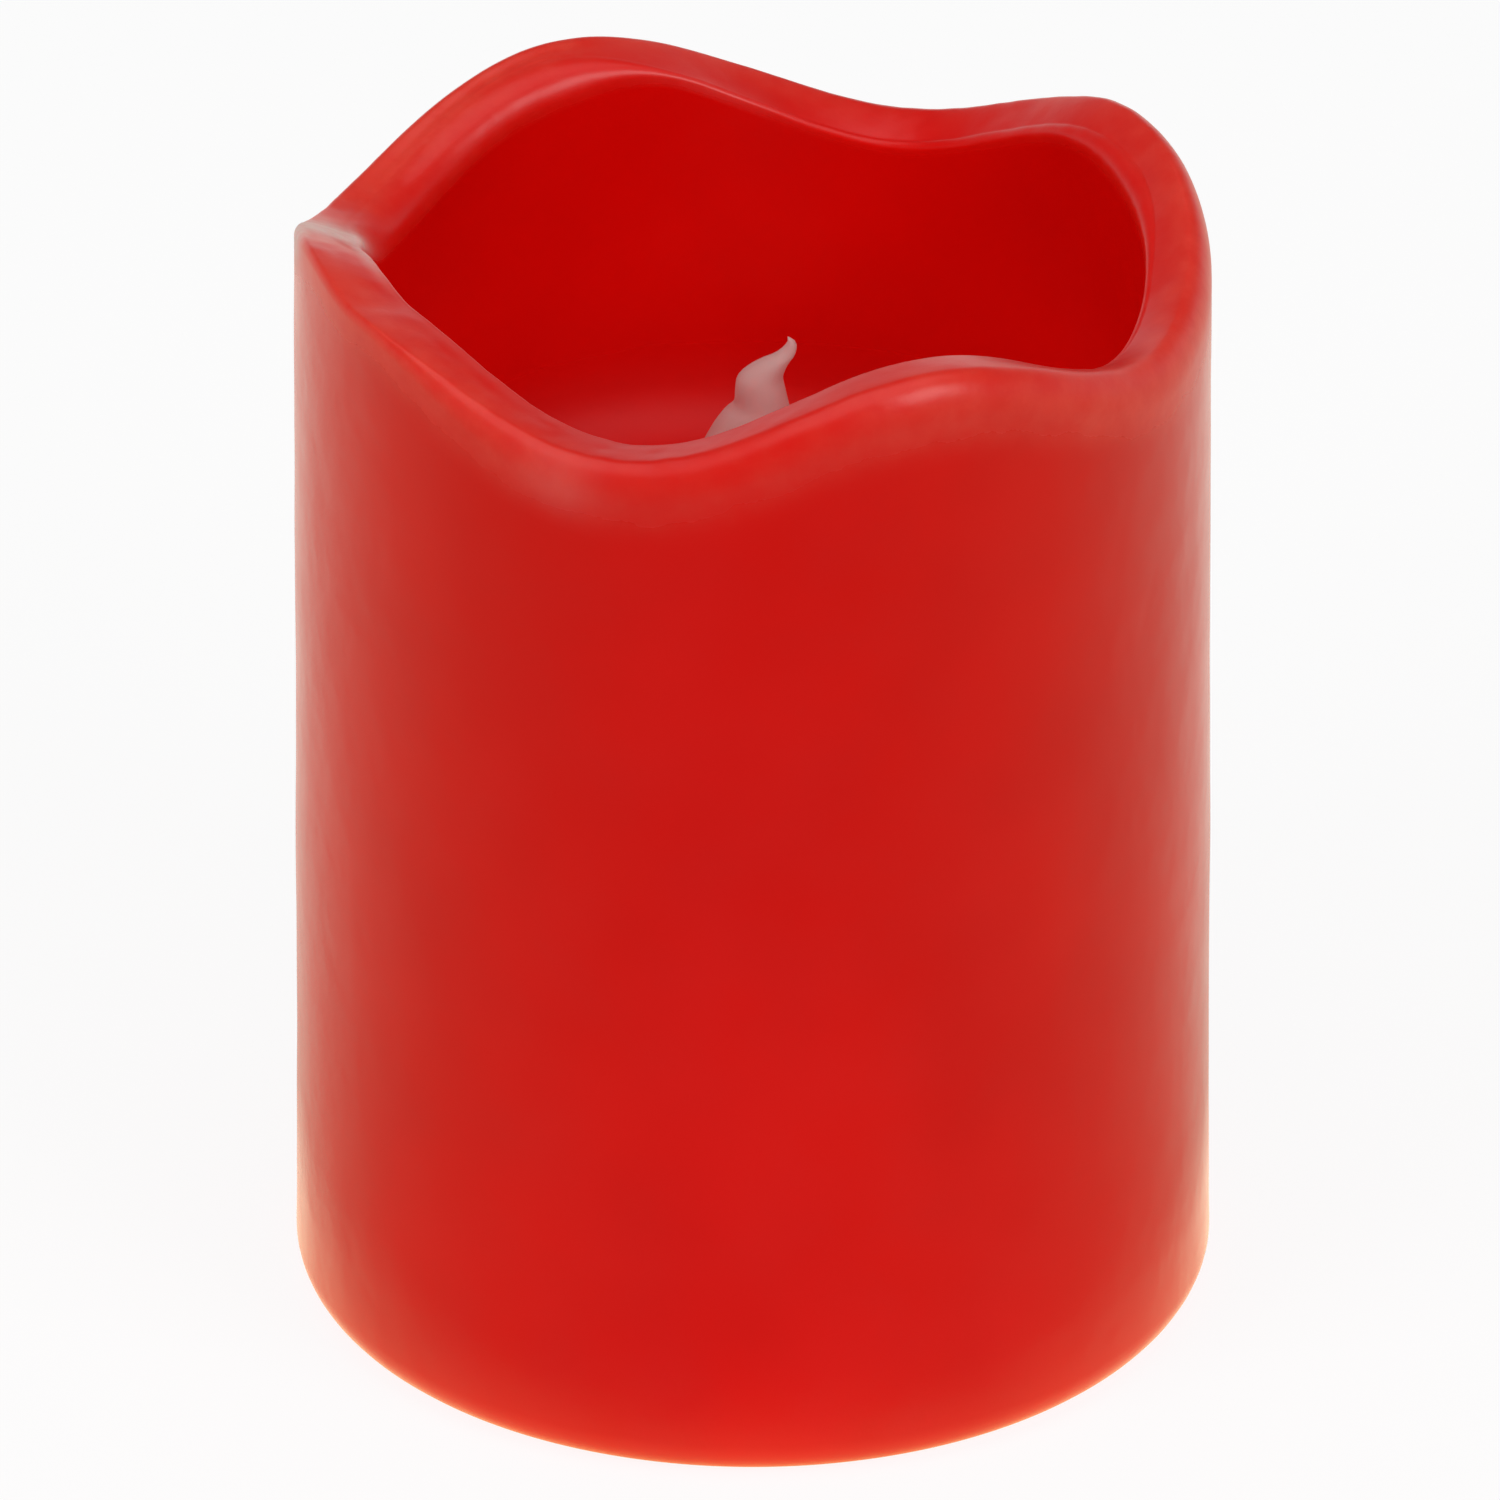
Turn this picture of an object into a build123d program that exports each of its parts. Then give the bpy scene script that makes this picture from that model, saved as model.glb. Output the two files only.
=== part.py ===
"""Flameless LED pillar candle, in millimetres.

A thick wax shell with a wavy melted rim stands on its foot ring.  A moulded insert is pressed into the
shell from below: a base case with the battery bay, a hinged battery door, and a top cover whose tower
carries the lamp and the flame tip up through the wax deck.  +Z is up, -Y is the front, and the origin is
the middle of the foot ring.
"""
from build123d import *
from math import cos, pi, radians, sin, sqrt, tan
import os

os.makedirs("parts", exist_ok=True)

# ---- wax shell -------------------------------------------------------------------------------------
BASE_RADIUS = 37.5
WALL_DRAFT = 0.25  # degrees, the shell narrows upwards
FOOT_FILLET = 3.5
POCKET_RADIUS = 32.0
POCKET_TOP = 24.2
CAVITY_RADIUS = 30.0
DECK_BOTTOM = 54.0
DECK_TOP = 60.0
DECK_HOLE_RADIUS = 6.5
WELL_RADIUS = 31.7
MENISCUS = 3.5
SHELL_TOP = 104.0  # height of the blank before the rim is melted away

RIM_POINTS = 36
# Crests and dips of the rim: (angle from the front towards +X in degrees, height).
RIM_WAVE = (
    (23, 99.5),
    (68, 91.2),
    (118, 95.8),
    (163, 87.8),
    (207, 94.7),
    (241, 90.3),
    (284, 98.2),
    (300, 97.6),
    (341, 92.2),
)

# ---- insert ----------------------------------------------------------------------------------------
BASE_BOTTOM = 1.5
BASE_TOP = 3.5
INSERT_RADIUS = 31.4
COVER_WALL = 1.3
COVER_TOP = 24.0
COVER_PLATE = 1.6
CRUSH_RIB_RADIUS = 31.98
BOSS_X = 15.0
BOSS_Y = 22.5
BOSS_RADIUS = 2.5
SCREW_RADIUS = 1.1
SCREW_HEAD_RADIUS = 2.0
SCREW_HEAD_HEIGHT = 1.1
FIT = 0.02  # radial room of a pressed or screwed fit

# ---- battery bay -----------------------------------------------------------------------------------
CELL_RADIUS = 5.25
CELL_LENGTH = 44.5
CELL_PITCH = 10.9
CELL_HEIGHT = 9.0
NUB_RADIUS = 1.9
NUB_LENGTH = 0.8
BAY_HALF_X = 24.8
BAY_HALF_Y = 16.45
BAY_CORNER = 3.7
BAY_WALL = 1.3
CEILING_BOTTOM = 14.6
CEILING_TOP = 16.1
CONTACT_THICKNESS = 0.4
CONTACT_FACE = BAY_HALF_X - CONTACT_THICKNESS
CONTACT_BOTTOM = 4.4
CONTACT_TOP = 13.4
SPRING_WIRE = 0.25
BUTTON_RADIUS = 1.7
TAG_TOP = 19.0

# ---- battery door ----------------------------------------------------------------------------------
DOOR_GAP = 0.2
DOOR_RECESS_X = 25.3
DOOR_RECESS_Y = 17.0
DOOR_TOP = 3.1
TONGUE_IN = 8.0
TONGUE_OUT = 14.0
TONGUE_END = 19.4
TONGUE_BOTTOM = 3.6
TONGUE_TOP = 4.8
LATCH_HALF = 5.0
LATCH_EDGE = -21.9
HINGE_Y = DOOR_RECESS_Y
HINGE_Z = BASE_BOTTOM
LATCH_SWING = 38.85  # no point of the latch lies farther than this from the hinge line

# ---- switch and circuit board ----------------------------------------------------------------------
SWITCH_Y = 22.9
SWITCH_TRAVEL = 2.0  # each way from the middle position
SWITCH_SLOT = (8.2, 3.2)
SLOT_CORNER = 0.5
SWITCH_BOTTOM = 4.2
BOARD_BOTTOM = 8.0
BOARD_TOP = 9.0
BOARD_SIZE = (24.0, 8.0)
BOARD_SCREW_X = 9.5
BOARD_BOSS_RADIUS = 2.2

# ---- lamp and flame --------------------------------------------------------------------------------
TOWER_RADIUS = 6.0
TOWER_BORE = 4.6
TOWER_TOP = 59.0
LAMP_RADIUS = 2.5
LAMP_FLANGE_RADIUS = 2.9
LAMP_TIP = 68.2
LEG_OFFSET = 1.27
WIRE_RADIUS = 0.6

# Sections of the flame tip from its foot upwards: (height, middle in X, half width in X, half depth in Y).
FLAME_SECTIONS = (
    (60.0, 0.0, 4.6, 4.58),
    (64.0, -0.3, 6.1, 5.2),
    (68.5, -0.6, 6.5, 5.0),
    (73.0, -0.4, 5.4, 4.2),
    (77.0, 0.1, 3.6, 3.1),
    (80.0, 0.6, 2.1, 2.08),
    (82.6, 1.3, 1.7, 1.5),
    (85.6, 3.2, 0.5, 0.48),
)


def finish(piece, label):
    """Label a finished piece and write its STEP file."""
    piece.part.label = label
    export_step(piece.part, f"parts/{label}.step")


def rim_height(angle):
    """Height of the rim at an angle in degrees from the front, eased between crests and dips."""
    first_angle, first_height = RIM_WAVE[0]
    wave = RIM_WAVE + ((first_angle + 360, first_height),)
    angle = (angle - first_angle) % 360 + first_angle
    for (start, low), (end, high) in zip(wave, wave[1:]):
        if angle <= end:
            ease = (1 - cos(pi * (angle - start) / (end - start))) / 2
            return low + (high - low) * ease
    return first_height


def rim_line(radius):
    """Closed wavy line at a radius, through evenly spaced points of the rim."""
    angles = [360 / RIM_POINTS * i for i in range(RIM_POINTS)]
    around = [(radius * sin(radians(a)), -radius * cos(radians(a)), rim_height(a)) for a in angles]
    return Edge.make_spline([Vector(*point) for point in around], periodic=True)


def plan_rectangle(half_x, half_y, corner):
    """Rounded rectangle about the vertical axis, given by its half sizes."""
    return RectangleRounded(2 * half_x, 2 * half_y, corner)


# ---- wax shell -------------------------------------------------------------------------------------
# The melted rim: everything above this wavy ring is taken off the blank.
melt_ring = Face.make_surface_from_curves(rim_line(WELL_RADIUS - 1), rim_line(BASE_RADIUS + 1))

with BuildPart() as wax_shell:
    shell_slope = tan(radians(WALL_DRAFT))
    top_radius = BASE_RADIUS - SHELL_TOP * shell_slope
    with BuildSketch(Plane.XZ):
        with BuildLine():
            Polyline(
                (POCKET_RADIUS, 0),
                (BASE_RADIUS, 0),
                (top_radius, SHELL_TOP),
                (WELL_RADIUS, SHELL_TOP),
                (WELL_RADIUS, DECK_TOP),
                (DECK_HOLE_RADIUS, DECK_TOP),
                (DECK_HOLE_RADIUS, DECK_BOTTOM),
                (CAVITY_RADIUS, DECK_BOTTOM),
                (CAVITY_RADIUS, POCKET_TOP),
                (POCKET_RADIUS, POCKET_TOP),
                close=True,
            )
        make_face()
    revolve(axis=Axis.Z)
    foot_edges = wax_shell.edges().filter_by(GeomType.CIRCLE).group_by(Axis.Z)[0]
    fillet(foot_edges.sort_by(SortBy.RADIUS)[-1], FOOT_FILLET)
    rings = wax_shell.edges().filter_by(GeomType.CIRCLE)
    deck_edges = rings.filter_by_position(Axis.Z, DECK_TOP - 0.1, DECK_TOP + 0.1)
    fillet(deck_edges.sort_by(SortBy.RADIUS)[-1], MENISCUS)
    extrude(melt_ring, amount=20, dir=(0, 0, 1), mode=Mode.SUBTRACT)
finish(wax_shell, "wax_shell")

# ---- base case: disc, battery bay, latch notch, switch slot, bosses ----------------------------------
BAY_OUTER_CORNER = BAY_CORNER + BAY_WALL
RECESS_CORNER = BAY_CORNER + 0.4
NOTCH_HALF = LATCH_HALF + 0.7
NOTCH_START = DOOR_RECESS_Y - 0.5
WINDOW_TOP = 5.9
WINDOW_GAP = 0.3
BOARD_HOLE_RADIUS = 0.9
boss_places = [(x, y) for x in (-BOSS_X, BOSS_X) for y in (-BOSS_Y, BOSS_Y)]
board_places = [(-BOARD_SCREW_X, SWITCH_Y), (BOARD_SCREW_X, SWITCH_Y)]
tongue_middles = [(side * (TONGUE_IN + TONGUE_OUT) / 2) for side in (-1, 1)]
tongue_width = TONGUE_OUT - TONGUE_IN
TAG_Y = 10.9
TAG_WIDTH = 3.0

with BuildPart() as base_case:
    with BuildSketch(Plane.XY.offset(BASE_BOTTOM)):
        Circle(INSERT_RADIUS)
    extrude(amount=BASE_TOP - BASE_BOTTOM)
    chamfer(base_case.edges().group_by(Axis.Z)[0], 0.4)
    # bay walls and ceiling
    with BuildSketch(Plane.XY.offset(BASE_TOP)):
        plan_rectangle(BAY_HALF_X + BAY_WALL, BAY_HALF_Y + BAY_WALL, BAY_OUTER_CORNER)
    extrude(amount=CEILING_TOP - BASE_TOP)
    with BuildSketch(Plane.XY.offset(BASE_BOTTOM)):
        plan_rectangle(BAY_HALF_X, BAY_HALF_Y, BAY_CORNER)
    extrude(amount=CEILING_BOTTOM - BASE_BOTTOM, mode=Mode.SUBTRACT)
    # door recess, leaving a ledge all round the bay
    with BuildSketch(Plane.XY.offset(BASE_BOTTOM)):
        plan_rectangle(DOOR_RECESS_X, DOOR_RECESS_Y, RECESS_CORNER)
    extrude(amount=DOOR_TOP - BASE_BOTTOM, mode=Mode.SUBTRACT)
    # notch that the latch snaps into
    with BuildSketch(Plane.XY.offset(BASE_BOTTOM)):
        with Locations((0, (LATCH_EDGE - NOTCH_START) / 2)):
            Rectangle(2 * NOTCH_HALF, -LATCH_EDGE - NOTCH_START)
    extrude(amount=BASE_TOP - BASE_BOTTOM, mode=Mode.SUBTRACT)
    # windows for the two hinge tongues
    with BuildSketch(Plane.XY.offset(DOOR_TOP)):
        with Locations(*[(middle, BAY_HALF_Y + 0.75) for middle in tongue_middles]):
            Rectangle(tongue_width + 2 * WINDOW_GAP, 2.0)
    extrude(amount=WINDOW_TOP - DOOR_TOP, mode=Mode.SUBTRACT)
    # pillars for the circuit board
    with BuildSketch(Plane.XY.offset(BASE_TOP)):
        with Locations(*board_places):
            Circle(BOARD_BOSS_RADIUS)
            Circle(BOARD_HOLE_RADIUS, mode=Mode.SUBTRACT)
    extrude(amount=BOARD_BOTTOM - BASE_TOP)
    # switch slot
    with BuildSketch(Plane.XY.offset(BASE_BOTTOM)):
        with Locations((0, SWITCH_Y)):
            RectangleRounded(*SWITCH_SLOT, SLOT_CORNER)
    extrude(amount=BASE_TOP - BASE_BOTTOM, mode=Mode.SUBTRACT)
    # screw holes, counterbored from below
    with Locations(Plane(origin=(0, 0, BASE_BOTTOM), z_dir=(0, 0, -1))):
        with Locations(*boss_places):
            CounterBoreHole(SCREW_RADIUS + 0.15, SCREW_HEAD_RADIUS + 0.2, SCREW_HEAD_HEIGHT)
    # slots in the ceiling for the terminal tags
    with BuildSketch(Plane.XY.offset(CEILING_BOTTOM)):
        with Locations((BAY_HALF_X - 0.25, TAG_Y), (-BAY_HALF_X + 0.25, -TAG_Y)):
            Rectangle(0.7, TAG_WIDTH + 0.4)
    extrude(amount=CEILING_TOP - CEILING_BOTTOM, mode=Mode.SUBTRACT)
finish(base_case, "base_case")

# ---- battery door: plate, ribs, hinge tongues and latch, one moulding ---------------------------------
DOOR_HALF_X = DOOR_RECESS_X - DOOR_GAP
DOOR_HALF_Y = DOOR_RECESS_Y - DOOR_GAP
RIB_TOP = 3.55
LATCH_LEG = 0.9
LATCH_INNER = -18.15
LATCH_OUTER = -21.3
LATCH_TOP = 8.9
LATCH_PAD = -21.75


def latch_reach(height):
    """Y of the farthest point from the hinge that still swings clear of the notch, at a height."""
    return HINGE_Y - sqrt(LATCH_SWING**2 - (height - HINGE_Z) ** 2)


with BuildPart() as battery_door:
    with BuildSketch(Plane.XY.offset(BASE_BOTTOM)):
        plan_rectangle(DOOR_HALF_X, DOOR_HALF_Y, RECESS_CORNER - DOOR_GAP)
        with Locations((0, (LATCH_INNER - LATCH_LEG - DOOR_HALF_Y + 2) / 2)):
            Rectangle(2 * LATCH_HALF, -LATCH_INNER + LATCH_LEG - DOOR_HALF_Y + 2)
    extrude(amount=DOOR_TOP - BASE_BOTTOM)
    # stiffening ribs between the cells
    with BuildSketch(Plane.XY.offset(DOOR_TOP)):
        with GridLocations(0, CELL_PITCH, 1, 2):
            Rectangle(2 * BAY_HALF_X - 4, 1.0)
        with GridLocations(12.0, 0, 3, 1):
            Rectangle(1.0, 2 * BAY_HALF_Y - 8)
    extrude(amount=RIB_TOP - DOOR_TOP)
    # two hinge tongues, each on its own root
    with BuildSketch(Plane.YZ.offset(TONGUE_IN)):
        with BuildLine():
            Polyline(
                (DOOR_HALF_Y - 2.2, DOOR_TOP - 0.2),
                (DOOR_HALF_Y - 0.6, DOOR_TOP - 0.2),
                (DOOR_HALF_Y - 0.6, TONGUE_BOTTOM),
                (TONGUE_END, TONGUE_BOTTOM),
                (TONGUE_END, TONGUE_TOP - 0.3),
                (TONGUE_END - 0.3, TONGUE_TOP),
                (DOOR_HALF_Y - 1.6, TONGUE_TOP),
                close=True,
            )
        make_face()
    extrude(amount=tongue_width)
    mirror(about=Plane.YZ)
    # sprung latch: up the inner leg, over the bend and down the outer leg to the thumb pad
    with BuildSketch(Plane.YZ.offset(-LATCH_HALF)):
        with BuildLine():
            bend = (LATCH_INNER + LATCH_OUTER) / 2
            outer_bend = (LATCH_INNER - LATCH_OUTER) / 2
            spring_height = LATCH_TOP - outer_bend
            Line((LATCH_INNER, BASE_BOTTOM), (LATCH_INNER, spring_height))
            ThreePointArc((LATCH_INNER, spring_height), (bend, LATCH_TOP), (LATCH_OUTER, spring_height))
            Polyline(
                (LATCH_OUTER, spring_height),
                (LATCH_OUTER, 4.9),
                (latch_reach(4.4), 4.4),
                (latch_reach(3.7), 3.7),
                (LATCH_OUTER, 3.6),
                (LATCH_OUTER, 3.0),
                (LATCH_PAD, 2.6),
                (LATCH_PAD, BASE_BOTTOM),
                (LATCH_OUTER + LATCH_LEG, BASE_BOTTOM),
                (LATCH_OUTER + LATCH_LEG, spring_height),
            )
            ThreePointArc(
                (LATCH_OUTER + LATCH_LEG, spring_height),
                (bend, LATCH_TOP - LATCH_LEG),
                (LATCH_INNER - LATCH_LEG, spring_height),
            )
            Polyline(
                (LATCH_INNER - LATCH_LEG, spring_height),
                (LATCH_INNER - LATCH_LEG, BASE_BOTTOM),
                (LATCH_INNER, BASE_BOTTOM),
            )
        make_face()
    extrude(amount=2 * LATCH_HALF)
    # shallow finger scoop beside the latch
    with BuildSketch(Plane.XY.offset(BASE_BOTTOM)):
        with Locations((0, -DOOR_HALF_Y + 4.0)):
            SlotOverall(12.0, 4.4)
    extrude(amount=0.8, mode=Mode.SUBTRACT, taper=20)
finish(battery_door, "battery_door")

# ---- top cover: drum, top plate, screw bosses, crush ribs and lamp tower ------------------------------
with BuildPart() as top_cover:
    with BuildSketch(Plane.XY.offset(BASE_TOP)):
        Circle(INSERT_RADIUS)
    extrude(amount=COVER_TOP - BASE_TOP)
    with BuildSketch(Plane.XY.offset(BASE_TOP)):
        Circle(INSERT_RADIUS - COVER_WALL)
    extrude(amount=COVER_TOP - COVER_PLATE - BASE_TOP, mode=Mode.SUBTRACT)
    fillet(top_cover.edges().filter_by(GeomType.CIRCLE).group_by(Axis.Z)[-1], 0.8)
    with BuildSketch(Plane.XY.offset(BASE_TOP)):
        with Locations(*boss_places):
            Circle(BOSS_RADIUS)
    extrude(amount=COVER_TOP - COVER_PLATE - BASE_TOP)
    with BuildSketch(Plane.XY.offset(BASE_TOP)):
        with Locations(*boss_places):
            Circle(SCREW_RADIUS + FIT)
    extrude(amount=10.0, mode=Mode.SUBTRACT)
    # crush ribs that grip the wax
    with BuildSketch(Plane.XY.offset(BASE_TOP + 2)):
        with PolarLocations(INSERT_RADIUS, 12, start_angle=15):
            Rectangle(2 * (CRUSH_RIB_RADIUS - INSERT_RADIUS), 1.2)
    extrude(amount=COVER_TOP - BASE_TOP - 5)
    # tower
    with BuildSketch(Plane.XY.offset(COVER_TOP)):
        Circle(TOWER_RADIUS)
    extrude(amount=TOWER_TOP - COVER_TOP)
    with BuildSketch(Plane.XY.offset(COVER_TOP)):
        with PolarLocations(TOWER_RADIUS + 2.5, 4, start_angle=45):
            Rectangle(6.0, 1.2)
    extrude(amount=10.0)
    with BuildSketch(Plane.XY.offset(COVER_TOP - COVER_PLATE)):
        Circle(TOWER_BORE)
    extrude(amount=TOWER_TOP - COVER_TOP + COVER_PLATE, mode=Mode.SUBTRACT)
finish(top_cover, "top_cover")

# ---- cells ------------------------------------------------------------------------------------------
# The middle cell lies the other way round, so that the three are in series.
cell_places = [(-CELL_PITCH, 1), (0.0, -1), (CELL_PITCH, 1)]
for number, (cell_y, way) in enumerate(cell_places, start=1):
    cell_start = Plane(origin=(-way * CELL_LENGTH / 2, cell_y, CELL_HEIGHT), z_dir=(way, 0, 0))
    with BuildPart(cell_start) as cell:
        Cylinder(CELL_RADIUS, CELL_LENGTH - NUB_LENGTH, align=(Align.CENTER, Align.CENTER, Align.MIN))
        fillet(cell.edges().filter_by(GeomType.CIRCLE), 0.5)
        with BuildSketch(cell_start.offset(CELL_LENGTH - NUB_LENGTH)):
            Circle(NUB_RADIUS)
        extrude(amount=NUB_LENGTH)
    finish(cell, f"cell_{number}")

# ---- contacts: stamped plates with a pressed button, and a conical spring under each flat cell end -----
BUTTON_CLEAR = 0.04
button_length = CONTACT_FACE - CELL_LENGTH / 2 - BUTTON_CLEAR


def contact_plate(side, low_y, high_y, button_y=None, tag_y=None):
    """One stamped contact on the +X or -X end wall of the bay."""
    face = Plane(origin=(side * CONTACT_FACE, 0, 0), x_dir=(0, 1, 0), z_dir=(side, 0, 0))
    middle_z = (CONTACT_BOTTOM + CONTACT_TOP) / 2
    with BuildPart() as contact:
        with BuildSketch(face):
            with Locations(((low_y + high_y) / 2, side * middle_z)):
                RectangleRounded(high_y - low_y, CONTACT_TOP - CONTACT_BOTTOM, 0.8)
            if tag_y is not None:
                with Locations((tag_y, side * (CONTACT_TOP + TAG_TOP - 1) / 2)):
                    Rectangle(TAG_WIDTH - 0.4, TAG_TOP - CONTACT_TOP + 1)
        extrude(amount=CONTACT_THICKNESS)
        if button_y is not None:
            with BuildSketch(face):
                with Locations((button_y, side * CELL_HEIGHT)):
                    Circle(BUTTON_RADIUS)
            extrude(amount=-button_length, taper=12)
    return contact


finish(contact_plate(1, 7.0, 12.6, button_y=CELL_PITCH, tag_y=TAG_Y), "positive_terminal")
finish(contact_plate(-1, -12.6, -7.0, tag_y=-TAG_Y), "negative_terminal")
finish(contact_plate(1, -12.6, 3.4, button_y=-CELL_PITCH), "bridge_contact_right")
finish(contact_plate(-1, -3.4, 12.6, button_y=0.0), "bridge_contact_left")

SPRING_TURNS = 3.0
SPRING_BASE_RADIUS = 2.9
SPRING_CONE = 42.0
spring_room = CONTACT_FACE - CELL_LENGTH / 2 - 2 * SPRING_WIRE - 0.1
spring_places = [(-1, -CELL_PITCH), (1, 0.0), (-1, CELL_PITCH)]
for number, (side, spring_y) in enumerate(spring_places, start=1):
    with BuildPart() as contact_spring:
        with BuildLine() as coil:
            Helix(
                pitch=spring_room / SPRING_TURNS,
                height=spring_room,
                radius=SPRING_BASE_RADIUS,
                center=(SPRING_WIRE + 0.05 - CONTACT_FACE, spring_y, CELL_HEIGHT),
                direction=(1, 0, 0),
                cone_angle=-SPRING_CONE,
            )
        with BuildSketch(Plane(origin=coil.line @ 0, z_dir=coil.line % 0)):
            Circle(SPRING_WIRE)
        sweep(path=coil.line, is_frenet=True)
        if side > 0:
            mirror(about=Plane.YZ, mode=Mode.REPLACE)
    finish(contact_spring, f"contact_spring_{number}")

# ---- slide switch: metal frame, insulator, pins, and the sliding lever with its knob -------------------
FRAME_HALF_X = 4.6
FRAME_HALF_Y = 1.9
FRAME_WALL = 0.3
LEVER_HALF_X = 1.8
LEVER_BOTTOM = 4.6
LEVER_TOP = 6.2
INSULATOR_BOTTOM = 6.6
NECK_HALF_X = 1.0
NECK_HALF_Y = 0.7
NECK_GAP = 0.15
NECK_BOTTOM = 1.9
KNOB_BOTTOM = 0.8
KNOB_TOP = 3.2
KNOB_HALF_X = 1.9
KNOB_HALF_Y = 1.35
PIN_RADIUS = 0.3
PIN_TOP = 10.0
pin_places = [(-3.0 + 2.0 * i, SWITCH_Y) for i in range(4)]

with BuildPart() as switch_frame:
    with BuildSketch(Plane.XY.offset(SWITCH_BOTTOM)):
        with Locations((0, SWITCH_Y)):
            RectangleRounded(2 * FRAME_HALF_X, 2 * FRAME_HALF_Y, 0.4)
    extrude(amount=BOARD_BOTTOM - SWITCH_BOTTOM)
    with BuildSketch(Plane.XY.offset(SWITCH_BOTTOM + FRAME_WALL)):
        with Locations((0, SWITCH_Y)):
            Rectangle(2 * (FRAME_HALF_X - FRAME_WALL), 2 * (FRAME_HALF_Y - FRAME_WALL))
    extrude(amount=BOARD_BOTTOM - SWITCH_BOTTOM - FRAME_WALL, mode=Mode.SUBTRACT)
    with BuildSketch(Plane.XY.offset(SWITCH_BOTTOM)):
        with Locations((0, SWITCH_Y)):
            Rectangle(2 * (NECK_HALF_X + SWITCH_TRAVEL + NECK_GAP), 2 * (NECK_HALF_Y + NECK_GAP))
    extrude(amount=FRAME_WALL, mode=Mode.SUBTRACT)
finish(switch_frame, "switch_frame")

with BuildPart() as switch_insulator:
    with BuildSketch(Plane.XY.offset(INSULATOR_BOTTOM)):
        with Locations((0, SWITCH_Y)):
            Rectangle(2 * (FRAME_HALF_X - FRAME_WALL), 2 * (FRAME_HALF_Y - FRAME_WALL))
        with Locations(*pin_places):
            Circle(PIN_RADIUS, mode=Mode.SUBTRACT)
    extrude(amount=BOARD_BOTTOM - INSULATOR_BOTTOM)
finish(switch_insulator, "switch_insulator")

with BuildPart() as switch_pins:
    with BuildSketch(Plane.XY.offset(INSULATOR_BOTTOM)):
        with Locations(*pin_places):
            Circle(PIN_RADIUS)
    extrude(amount=PIN_TOP - INSULATOR_BOTTOM)
finish(switch_pins, "switch_pins")

with BuildPart() as switch_lever:
    with BuildSketch(Plane.XY.offset(LEVER_BOTTOM)):
        with Locations((0, SWITCH_Y)):
            RectangleRounded(2 * LEVER_HALF_X, 2 * (FRAME_HALF_Y - FRAME_WALL - NECK_GAP), 0.3)
    extrude(amount=LEVER_TOP - LEVER_BOTTOM)
    with BuildSketch(Plane.XY.offset(NECK_BOTTOM)):
        with Locations((0, SWITCH_Y)):
            Rectangle(2 * NECK_HALF_X, 2 * NECK_HALF_Y)
    extrude(amount=LEVER_BOTTOM - NECK_BOTTOM)
finish(switch_lever, "switch_lever")

with BuildPart() as switch_knob:
    with BuildSketch(Plane.XY.offset(KNOB_BOTTOM)):
        with Locations((0, SWITCH_Y)):
            RectangleRounded(2 * KNOB_HALF_X, 2 * KNOB_HALF_Y, 0.5)
    extrude(amount=KNOB_TOP - KNOB_BOTTOM)
    # grip grooves across the face
    with BuildSketch(Plane.XY.offset(KNOB_BOTTOM)):
        with Locations((0, SWITCH_Y)):
            with GridLocations(1.1, 0, 3, 1):
                Rectangle(0.4, 2 * KNOB_HALF_Y)
    extrude(amount=0.35, mode=Mode.SUBTRACT)
    with BuildSketch(Plane.XY.offset(NECK_BOTTOM)):
        with Locations((0, SWITCH_Y)):
            Rectangle(2 * NECK_HALF_X, 2 * NECK_HALF_Y)
    extrude(amount=KNOB_TOP - NECK_BOTTOM, mode=Mode.SUBTRACT)
finish(switch_knob, "switch_knob")

# ---- circuit board and what is soldered to it ---------------------------------------------------------
CHIP_SIZE = (3.0, 1.7, 1.1)
CHIP_PLACE = (5.6, 24.9)
CAPACITOR_PLACE = (-6.0, 24.8)
CAPACITOR_RADIUS = 2.0
CAPACITOR_HEIGHT = 5.0
CRYSTAL_PLACE = (-0.2, 25.4)
CRYSTAL_RADIUS = 1.0
CRYSTAL_LENGTH = 5.4
RESISTOR_PLACE = (-5.2, 20.2)
RESISTOR_RADIUS = 0.9
RESISTOR_LENGTH = 3.6
LEAD_RADIUS = 0.25
BATTERY_PAD = (10.5, 20.2)
LAMP_PADS = ((2.6, 20.2), (0.2, 20.2))

with BuildPart() as circuit_board:
    with BuildSketch(Plane.XY.offset(BOARD_BOTTOM)):
        with Locations((0, SWITCH_Y)):
            RectangleRounded(*BOARD_SIZE, 0.5)
        with Locations(*board_places):
            Circle(BOARD_HOLE_RADIUS + 0.2, mode=Mode.SUBTRACT)
        with Locations(*pin_places):
            Circle(PIN_RADIUS, mode=Mode.SUBTRACT)
    extrude(amount=BOARD_TOP - BOARD_BOTTOM)
finish(circuit_board, "circuit_board")

with BuildPart() as timer_chip:
    with BuildSketch(Plane.XY.offset(BOARD_TOP + 0.1)):
        with Locations(CHIP_PLACE):
            Rectangle(CHIP_SIZE[0], CHIP_SIZE[1])
    extrude(amount=CHIP_SIZE[2])
    chamfer(timer_chip.edges().group_by(Axis.Z)[-1], 0.15)
    # legs along the two long sides
    with BuildSketch(Plane.XY.offset(BOARD_TOP)):
        with Locations(CHIP_PLACE):
            with GridLocations(0.95, CHIP_SIZE[1] + 0.5, 3, 2):
                Rectangle(0.4, 0.7)
    extrude(amount=0.5)
finish(timer_chip, "timer_chip")

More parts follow.
